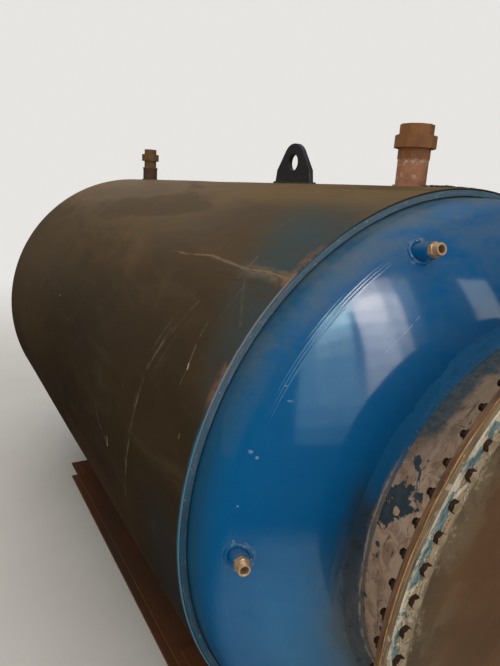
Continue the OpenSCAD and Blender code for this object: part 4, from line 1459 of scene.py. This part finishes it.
@show_on_panel
class BOILER_OT_lifting_lug(bpy.types.Operator):
    """Builds the lifting lug with rounded edges and its welds"""

    bl_idname = "boiler.lifting_lug"
    bl_label = "Lifting lug"

    def execute(self, context):
        low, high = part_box("lifting_lug")
        centre, thick = (low + high) / 2, high.x - low.x
        points, faces = self.plate(low, high, thick)
        where = Matrix.Translation((centre.x, 0, 0))
        plate = [where @ p for p in points], faces
        piece("lifting_lug_plate", plate, lug_enamel, "lug_paint", "lifting_lug", sharp=40)
        path = []
        for x, y, across in self.weld_line(thick):
            height = AXIS_HEIGHT + math.sqrt(JACKET_RADIUS ** 2 - x * x) - 0.001
            at = Vector((centre.x + x, centre.y + y, height))
            path.append((at, (across * 0.4 + Vector((0, 0, 1))).normalized(), across))
        piece("lifting_lug_weld", bead(path, 0.011, 0.006, seed=8.0), lug_enamel, "lug_paint")
        return {"FINISHED"}

    def plate(self, low, high, thick):
        """The lug's plate: upright to the jacket's top, then sloping to a round head with the eye."""
        middle_y, half_base, top_radius, eye_radius = (low.y + high.y) / 2, 0.1, 0.06, 0.026
        eye = Vector((middle_y, high.z - top_radius))
        shoulder = Vector((0.093, TANK_TOP + 0.041))
        reach = math.hypot(shoulder.x, eye.y - shoulder.y)
        slope = math.atan2(shoulder.y - eye.y, shoulder.x) + math.acos(top_radius / reach)
        outline = [
            Vector((middle_y - half_base, low.z)), Vector((middle_y + half_base, low.z)),
            Vector((middle_y + half_base, TANK_TOP)), Vector((middle_y + shoulder.x, shoulder.y))]
        for i in range(25):
            angle = slope + (math.pi - 2 * slope) * i / 24
            outline.append(eye + Vector((math.cos(angle), math.sin(angle))) * top_radius)
        outline += [Vector((middle_y - shoulder.x, shoulder.y)), Vector((middle_y - half_base, TANK_TOP))]
        hole = [eye + direction.xy * eye_radius for direction in circle(48)[:-1]]
        return plate_with_hole(outline, hole, thick, 0.0014)

    def weld_line(self, thick):
        """The line round the lug's foot: across and along from its centre, and the direction outwards."""
        half_x, half_y, steps = thick / 2 + 0.002, 0.102, 59
        rim = []
        for sign in (1, -1):
            out, end = Vector((sign, 0, 0)), Vector((0, sign, 0))
            rim += [(sign * half_x, sign * (2 * half_y * i / steps - half_y), out) for i in range(steps + 1)]
            rim += [(sign * (half_x - (thick + 0.004) * i / 6), sign * half_y, end) for i in range(1, 6)]
        return rim + rim[:1]


def inwards(loop, by):
    """A closed loop of (y, z) moved to its inner side."""
    found = []
    for before, here, after in zip(loop[-1:] + loop[:-1], loop, loop[1:] + loop[:1]):
        runs = (here - before).normalized() + (after - here).normalized()
        found.append(here + Vector((-runs.y, runs.x)).normalized() * by)
    return found


def plate_with_hole(outline, hole, thick, edge):
    """A flat plate across X with rounded rims: outline and hole are lists of (y, z)."""
    half, parts = thick / 2, []
    for loop, sign in ((outline, 1), (hole, -1)):
        bevel, flat = inwards(loop, edge * 0.3 * sign), inwards(loop, edge * sign)
        levels = [
            (half, flat), (half - edge * 0.3, bevel), (half - edge, loop),
            (-half + edge, loop), (-half + edge * 0.3, bevel), (-half, flat)]
        points = [Vector((x, p.x, p.y)) for x, level in levels for p in level]
        faces = strips(len(levels), len(loop), flipped=True)
        parts.append((points, faces if sign > 0 else [quad[::-1] for quad in faces]))
    points, faces = joined(parts)
    last = len(levels) - 1
    sides = ((0, len(outline)), (len(outline) * len(levels), len(hole)))
    return points, faces + flat_side(points, sides, 0) + [tri[::-1] for tri in flat_side(points, sides, last)]


def flat_side(points, sides, level):
    """Triangles from the outline to the hole at one level: sides has their first point and their count."""
    loops = [list(range(start + level * count, start + (level + 1) * count)) for start, count in sides]
    index = loops[0] + loops[1]
    found = tessellate_polygon([[points[i] for i in loop] for loop in loops])
    return [tuple(index[i] for i in tri) for tri in found]


@show_on_panel
class BOILER_OT_base(bpy.types.Operator):
    """Builds the base rails with rolled corners and finishes saddles and cross bars"""

    bl_idname = "boiler.base"
    bl_label = "Base"

    def execute(self, context):
        for side in ("front", "rear"):
            keep(
                base_primer,
                *(side + part for part in ("_saddle", "_saddle_foot", "_wear_plate", "_cross_bar")))
        for name in ("left_rail", "right_rail"):
            piece(name + "_beam", self.rail(*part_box(name)), base_primer, "base_primer", name, sharp=30)
        return {"FINISHED"}

    def rail(self, low, high):
        """An I beam with a rounded root, its section drawn for a quarter and mirrored."""
        centre, half, tall = (low.x + high.x) / 2, (high.x - low.x) / 2, high.z
        flange, web, root, tip, chamfer = 0.008, 0.003, 0.007, 0.0016, 0.0015
        quarter = [(half - tip, 0.0), (half, tip), (half, flange - 0.003), (half - 0.003, flange)]
        for i in range(6):
            angle = math.pi / 2 * i / 5
            quarter.append((web + root - root * math.sin(angle), flange + root - root * math.cos(angle)))
        right = quarter + [(x, tall - z) for x, z in reversed(quarter)]
        section = right + [(-x, z) for x, z in reversed(right)]
        rows = [low.y, low.y + chamfer] + [low.y + (high.y - low.y) * i / 30 for i in range(1, 30)]
        rows += [high.y - chamfer, high.y]
        points = []
        for y in rows:
            shrink = 0.9985 if y in (low.y, high.y) else 1.0
            points += [Vector((centre + x * shrink, y, z)) for x, z in section]
        return points, strips(len(rows), len(section), flipped=True, capped=True)


@show_on_panel
class BOILER_OT_insulation(bpy.types.Operator):
    """Finishes the insulation and the barrel, and sets the loose tuft of wool on top"""

    bl_idname = "boiler.insulation"
    bl_label = "Insulation"

    def execute(self, context):
        outside, inside, shy = half_width("insulation"), HEAD_RADIUS + 0.0004, 0.007
        start, end = (FRONT_EDGE - y for y in front_and_rear("insulation"))
        profile = [
            (inside, start), (outside, start), (outside, start - 0.004), (outside - shy, start - 0.03),
            (outside - shy, end + 0.03), (outside, end + 0.004), (outside, end), (inside, end)]
        layer = turned(profile, 200, FRONT)
        piece("insulation_layer", layer, mineral_wool, "mineral_wool", "insulation")
        keep(weld_dirt, "barrel")
        chance = np.random.default_rng(41)
        tuft = joined([self.fibre(chance) for _ in range(520)])
        piece("wool_tuft", tuft, loose_fibres, "mineral_wool")
        return {"FINISHED"}

    def fibre(self, chance):
        """One short bent fibre, three-sided and thinning to its tip, somewhere in the tuft."""
        behind = 0.05 + 0.085 * chance.random()
        turn = math.radians(92.5 - 8.5 * chance.random())
        height = AXIS_HEIGHT + JACKET_RADIUS * math.sin(turn)
        foot = Vector((JACKET_RADIUS * math.cos(turn), FRONT_EDGE + behind, height))
        lean = chance.random() * 2 * math.pi
        rise = 0.35 + 0.5 * chance.random()
        direction = Vector((math.cos(lean), math.sin(lean), rise)).normalized()
        length = 0.006 + 0.012 * chance.random()
        bend = Vector((chance.random() - 0.5, chance.random() - 0.5, -0.5)) * length
        thickness = 0.0006 + 0.0005 * chance.random()
        across = direction.cross(Vector((0, 0, 1))).normalized()
        upward = across.cross(direction).normalized()
        points = []
        for k, t in enumerate((0, 0.35, 0.7, 1.0)):
            at = foot + direction * length * t + bend * t * t
            thin = thickness * (1 - 0.22 * k)
            points += [at + across * thin, at + upward * thin, at - across * thin * 0.6 - upward * thin * 0.6]
        return points, strips(4, 3, flipped=True) + [(9, 10, 11)]


# The lamps: name, place, aimed at, width, height, brightness of the face, colour, seen in gloss, lights dull
# surfaces.
LAMPS = [
    ("side window", (3.3, -4.9, 3.8), (3.3, 0.0, 3.8), 1.4, 1.7, 2.4, (1.0, 1.0, 0.85), True, False),
    ("window light", (-0.8, -4.9, 3.0), (-0.3, -1.0, 0.9), 2.9, 4.0, 1.5, (1.0, 0.98, 0.95), False, True),
    ("overhead", (-0.6, 0.2, 4.6), (0.0, 0.0, 0.8), 3.0, 3.6, 0.95, (1.0, 0.95, 0.87), False, True),
    ("front fill", (-2.6, -5.2, 1.0), (0.0, -1.0, 0.8), 3.0, 1.8, 1.6, (1.0, 0.97, 0.93), False, True),
    ("left fill", (-4.8, -1.6, 2.0), (0.0, -1.0, 0.8), 2.4, 2.0, 1.5, (1.0, 0.97, 0.93), False, True),
    ("rear fill", (1.0, 5.2, 2.6), (0.0, 1.0, 0.8), 2.4, 2.4, 1.6, (1.0, 0.98, 0.96), True, True),
]
# The window's panes that gloss shows, each a stack of strips: name, left, right, (height, brightness), tint.
PANES = [
    ("left pane", -2.2, -1.75,
     ((1.0, 0.3), (1.9, 1.8), (3.0, 2.0), (3.6, 3.0), (4.4, 5.0), (4.8, 2.0)), (0.68, 1.0, 1.03)),
    ("left pane", -1.75, -0.84,
     ((1.0, 0.3), (1.9, 1.9), (2.8, 2.2), (3.4, 4.0), (4.0, 12.0), (4.4, 11.0), (4.8, 3.0)),
     (0.72, 1.0, 1.02)),
    ("mullion", -0.84, -0.64,
     ((1.0, 0.3), (1.9, 1.6), (2.2, 1.5), (2.8, 0.6), (3.6, 0.5), (3.9, 3.0), (4.2, 12.0), (4.8, 4.0)),
     (0.8, 1.0, 1.0)),
    ("right pane", -0.64, 0.2,
     ((1.0, 0.4), (1.9, 3.0), (2.4, 3.8), (3.0, 5.6), (3.6, 8.4), (4.2, 15.0), (4.5, 14.0), (4.8, 3.0)),
     (1.0, 0.92, 0.87)),
    ("right pane", 0.2, 0.6,
     ((1.0, 0.3), (1.9, 1.6), (2.4, 2.0), (3.0, 3.2), (3.6, 5.8), (4.2, 9.0), (4.8, 3.0)), (1.0, 0.92, 0.87)),
    ("pane edge", 0.64, 1.0, ((1.0, 0.0), (3.0, 0.3), (3.8, 1.2), (4.6, 2.0)), (0.9, 1.0, 1.0)),
]


@show_on_panel
class BOILER_OT_stage(bpy.types.Operator):
    """Sets the pale floor, the lamps, the surroundings and the camera"""

    bl_idname = "boiler.stage"
    bl_label = "Studio"

    def execute(self, context):
        self.floor()
        self.surroundings()
        for row in LAMPS:
            self.lamp(*row)
        self.panes()
        self.camera()
        context.scene.view_settings.view_transform = "Standard"
        return {"FINISHED"}

    def floor(self):
        """A wide round floor."""
        rings, steps = (6.0, 30.0, 200.0), 64
        points = [(0.0, 0.0, 0.0)] + [tuple(way * r) for r in rings for way in circle(steps)[:-1]]
        faces = [(0, 1 + i, 1 + (i + 1) % steps) for i in range(steps)]
        faces += [tuple(1 + i for i in quad) for quad in strips(len(rings), steps)]
        mesh = bpy.data.meshes.new("floor")
        mesh.from_pydata(points, [], faces)
        mesh.materials.append(self.floor_finish())
        floor = bpy.data.objects.new("floor", mesh)
        bpy.context.scene.collection.objects.link(floor)

    def floor_finish(self):
        """Pale where it is seen, browner for the light it throws back, and fading into the room far off."""
        f = Finish("pale_floor", specular_ior_level=0.0, roughness=0.8)
        seen = Level(f, f.node("LightPath").outputs["Is Camera Ray"])
        shiny = Level(f, f.node("LightPath").outputs["Is Glossy Ray"])
        mottle = f.rise(f.cloud(0.5, 4), 0.3, 0.7)
        away = f.measure("LENGTH", f.place)
        near = f.measure("DISTANCE", f.place, (-0.7, -2.1, 0.0))
        plain = f.colour(mottle, (0.4, 0.37, 0.33), (0.44, 0.41, 0.37))
        mirrored = f.colour(f.rise(near, 1.3, 0.5), (0.05, 0.05, 0.05), (0.8, 0.98, 0.96))
        pale = f.colour(mottle, (0.8, 0.78, 0.74), (0.84, 0.82, 0.78))
        f.wear(base_color=f.layers(plain, (shiny, mirrored), (seen, pale)))
        glow = f.node("Emission", Color=(1.0, 0.98, 0.95), Strength=0.8)
        far = f.rise(away, 2.2, 7.0) * seen
        blend = f.node("MixShader", {}, {0: far, 1: f.surface.outputs[0], 2: glow.outputs[0]})
        f.fill(f.output.inputs["Surface"], blend.outputs[0])
        return f.material

    def surroundings(self):
        """A soft grey room, pale where the camera sees it and where gloss shows what is in front."""
        world = bpy.data.worlds.new("studio")
        bpy.context.scene.world = world
        w = Tree(world)
        direction = w.node("TexCoord").outputs["Generated"]
        along, height = w.part(direction, "Y"), w.part(direction, "Z")
        glow = (w.rise(along, -0.42, -0.3) * 0.14 + w.rise(along, -0.3, 0.45) * 0.09
            + w.rise(height, 0.5, 0.95) * 0.5)
        room = w.node("Background", Color=(1.0, 0.985, 0.96), Strength=0.42)
        pale = w.node("Background", Color=(1.0, 0.98, 0.95), Strength=0.8)
        mirror = w.node("Background", Color=(1.0, 0.985, 0.96), Strength=glow)
        ray = w.node("LightPath").outputs
        lit = w.node("MixShader", {}, {0: ray["Is Glossy Ray"], 1: room.outputs[0], 2: mirror.outputs[0]})
        seen = w.larger(ray["Is Camera Ray"], ray["Is Transmission Ray"])
        final = w.node("MixShader", {}, {0: seen, 1: lit.outputs[0], 2: pale.outputs[0]})
        w.node("OutputWorld", Surface=final.outputs[0])

    def panes(self):
        """The strips of the window's panes, each as bright as its height asks."""
        strip, lowest, window_y = 0.385, 1.0, -4.9
        for name, left, right, levels, tint in PANES:
            heights, glows = zip(*levels)
            for i in range(10):
                height = lowest + strip * (i + 0.5)
                centre, glow = (left + right) / 2, float(np.interp(height, heights, glows))
                place, aim = (centre, window_y, height), (centre, 0.0, height)
                self.lamp(name, place, aim, right - left, strip, glow, tint, True, False)

    def lamp(self, name, place, aim, width, height, glow, colour, glossy, dull):
        """A flat lamp whose face is as bright as glow says, whatever its size."""
        data = bpy.data.lights.new(name, "AREA")
        data.shape = "RECTANGLE"
        data.size, data.size_y = width, height
        data.energy = glow * math.pi * width * height
        data.color = colour
        lamp = bpy.data.objects.new(name, data)
        lamp.location = place
        lamp.rotation_mode = "QUATERNION"
        lamp.rotation_quaternion = (Vector(aim) - Vector(place)).to_track_quat("-Z", "Y")
        lamp.visible_camera = False
        lamp.visible_glossy = glossy
        lamp.visible_diffuse = dull
        bpy.context.scene.collection.objects.link(lamp)

    def camera(self):
        """The camera stands in front of the left side, a little below the top of the jacket."""
        place = Vector((-1.0737, FRONT_EDGE - 0.8413, AXIS_HEIGHT + 0.6583))
        yaw, pitch, roll = (math.radians(a) for a in (31.13, 14.31, 3.42))
        ahead = Vector((math.sin(yaw) * math.cos(pitch), math.cos(yaw) * math.cos(pitch), -math.sin(pitch)))
        level_right = Vector((math.cos(yaw), -math.sin(yaw), 0.0))
        level_up = level_right.cross(ahead)
        right = level_right * math.cos(roll) + level_up * math.sin(roll)
        up = level_up * math.cos(roll) - level_right * math.sin(roll)
        focal_pixels, photo_height, sensor = 546.27, 666, 36.0
        data = bpy.data.cameras.new("camera")
        data.sensor_width = sensor
        data.lens = focal_pixels / photo_height * sensor
        data.clip_start, data.clip_end = 0.02, 400.0
        camera = bpy.data.objects.new("camera", data)
        camera.matrix_world = Matrix((
            (right.x, up.x, -ahead.x, place.x), (right.y, up.y, -ahead.y, place.y),
            (right.z, up.z, -ahead.z, place.z), (0, 0, 0, 1)))
        bpy.context.scene.collection.objects.link(camera)
        bpy.context.scene.camera = camera


class BOILER_PT_pieces(bpy.types.Panel):
    """Lists the boiler's pieces in the order they are built"""

    bl_idname = "BOILER_PT_pieces"
    bl_label = "Boiler"
    bl_space_type = "VIEW_3D"
    bl_region_type = "UI"
    bl_category = "Boiler"

    def draw(self, context):
        for group in (context.scene.boiler_tank, context.scene.boiler_bolts, context.scene.boiler_paints):
            box = self.layout.box()
            for name in group.__annotations__:
                box.prop(group, name)
        for step in PANEL_STEPS:
            self.layout.operator(step.bl_idname)


CLASSES = [TankSizes, BoltSizes, PaintColours, *PANEL_STEPS, BOILER_PT_pieces]


def register():
    """Registers the classes and puts the sizes and colours on the scene."""
    for cls in CLASSES:
        bpy.utils.register_class(cls)
    bpy.types.Scene.boiler_tank = PointerProperty(type=TankSizes)
    bpy.types.Scene.boiler_bolts = PointerProperty(type=BoltSizes)
    bpy.types.Scene.boiler_paints = PointerProperty(type=PaintColours)


def unregister():
    """Takes back what register did."""
    for name in ("boiler_tank", "boiler_bolts", "boiler_paints"):
        delattr(bpy.types.Scene, name)
    for cls in reversed(CLASSES):
        bpy.utils.unregister_class(cls)


def main():
    """Builds every piece in order."""
    register()
    for step in PANEL_STEPS:
        group, name = step.bl_idname.split(".")
        getattr(getattr(bpy.ops, group), name)()


if __name__ == "__main__":
    main()
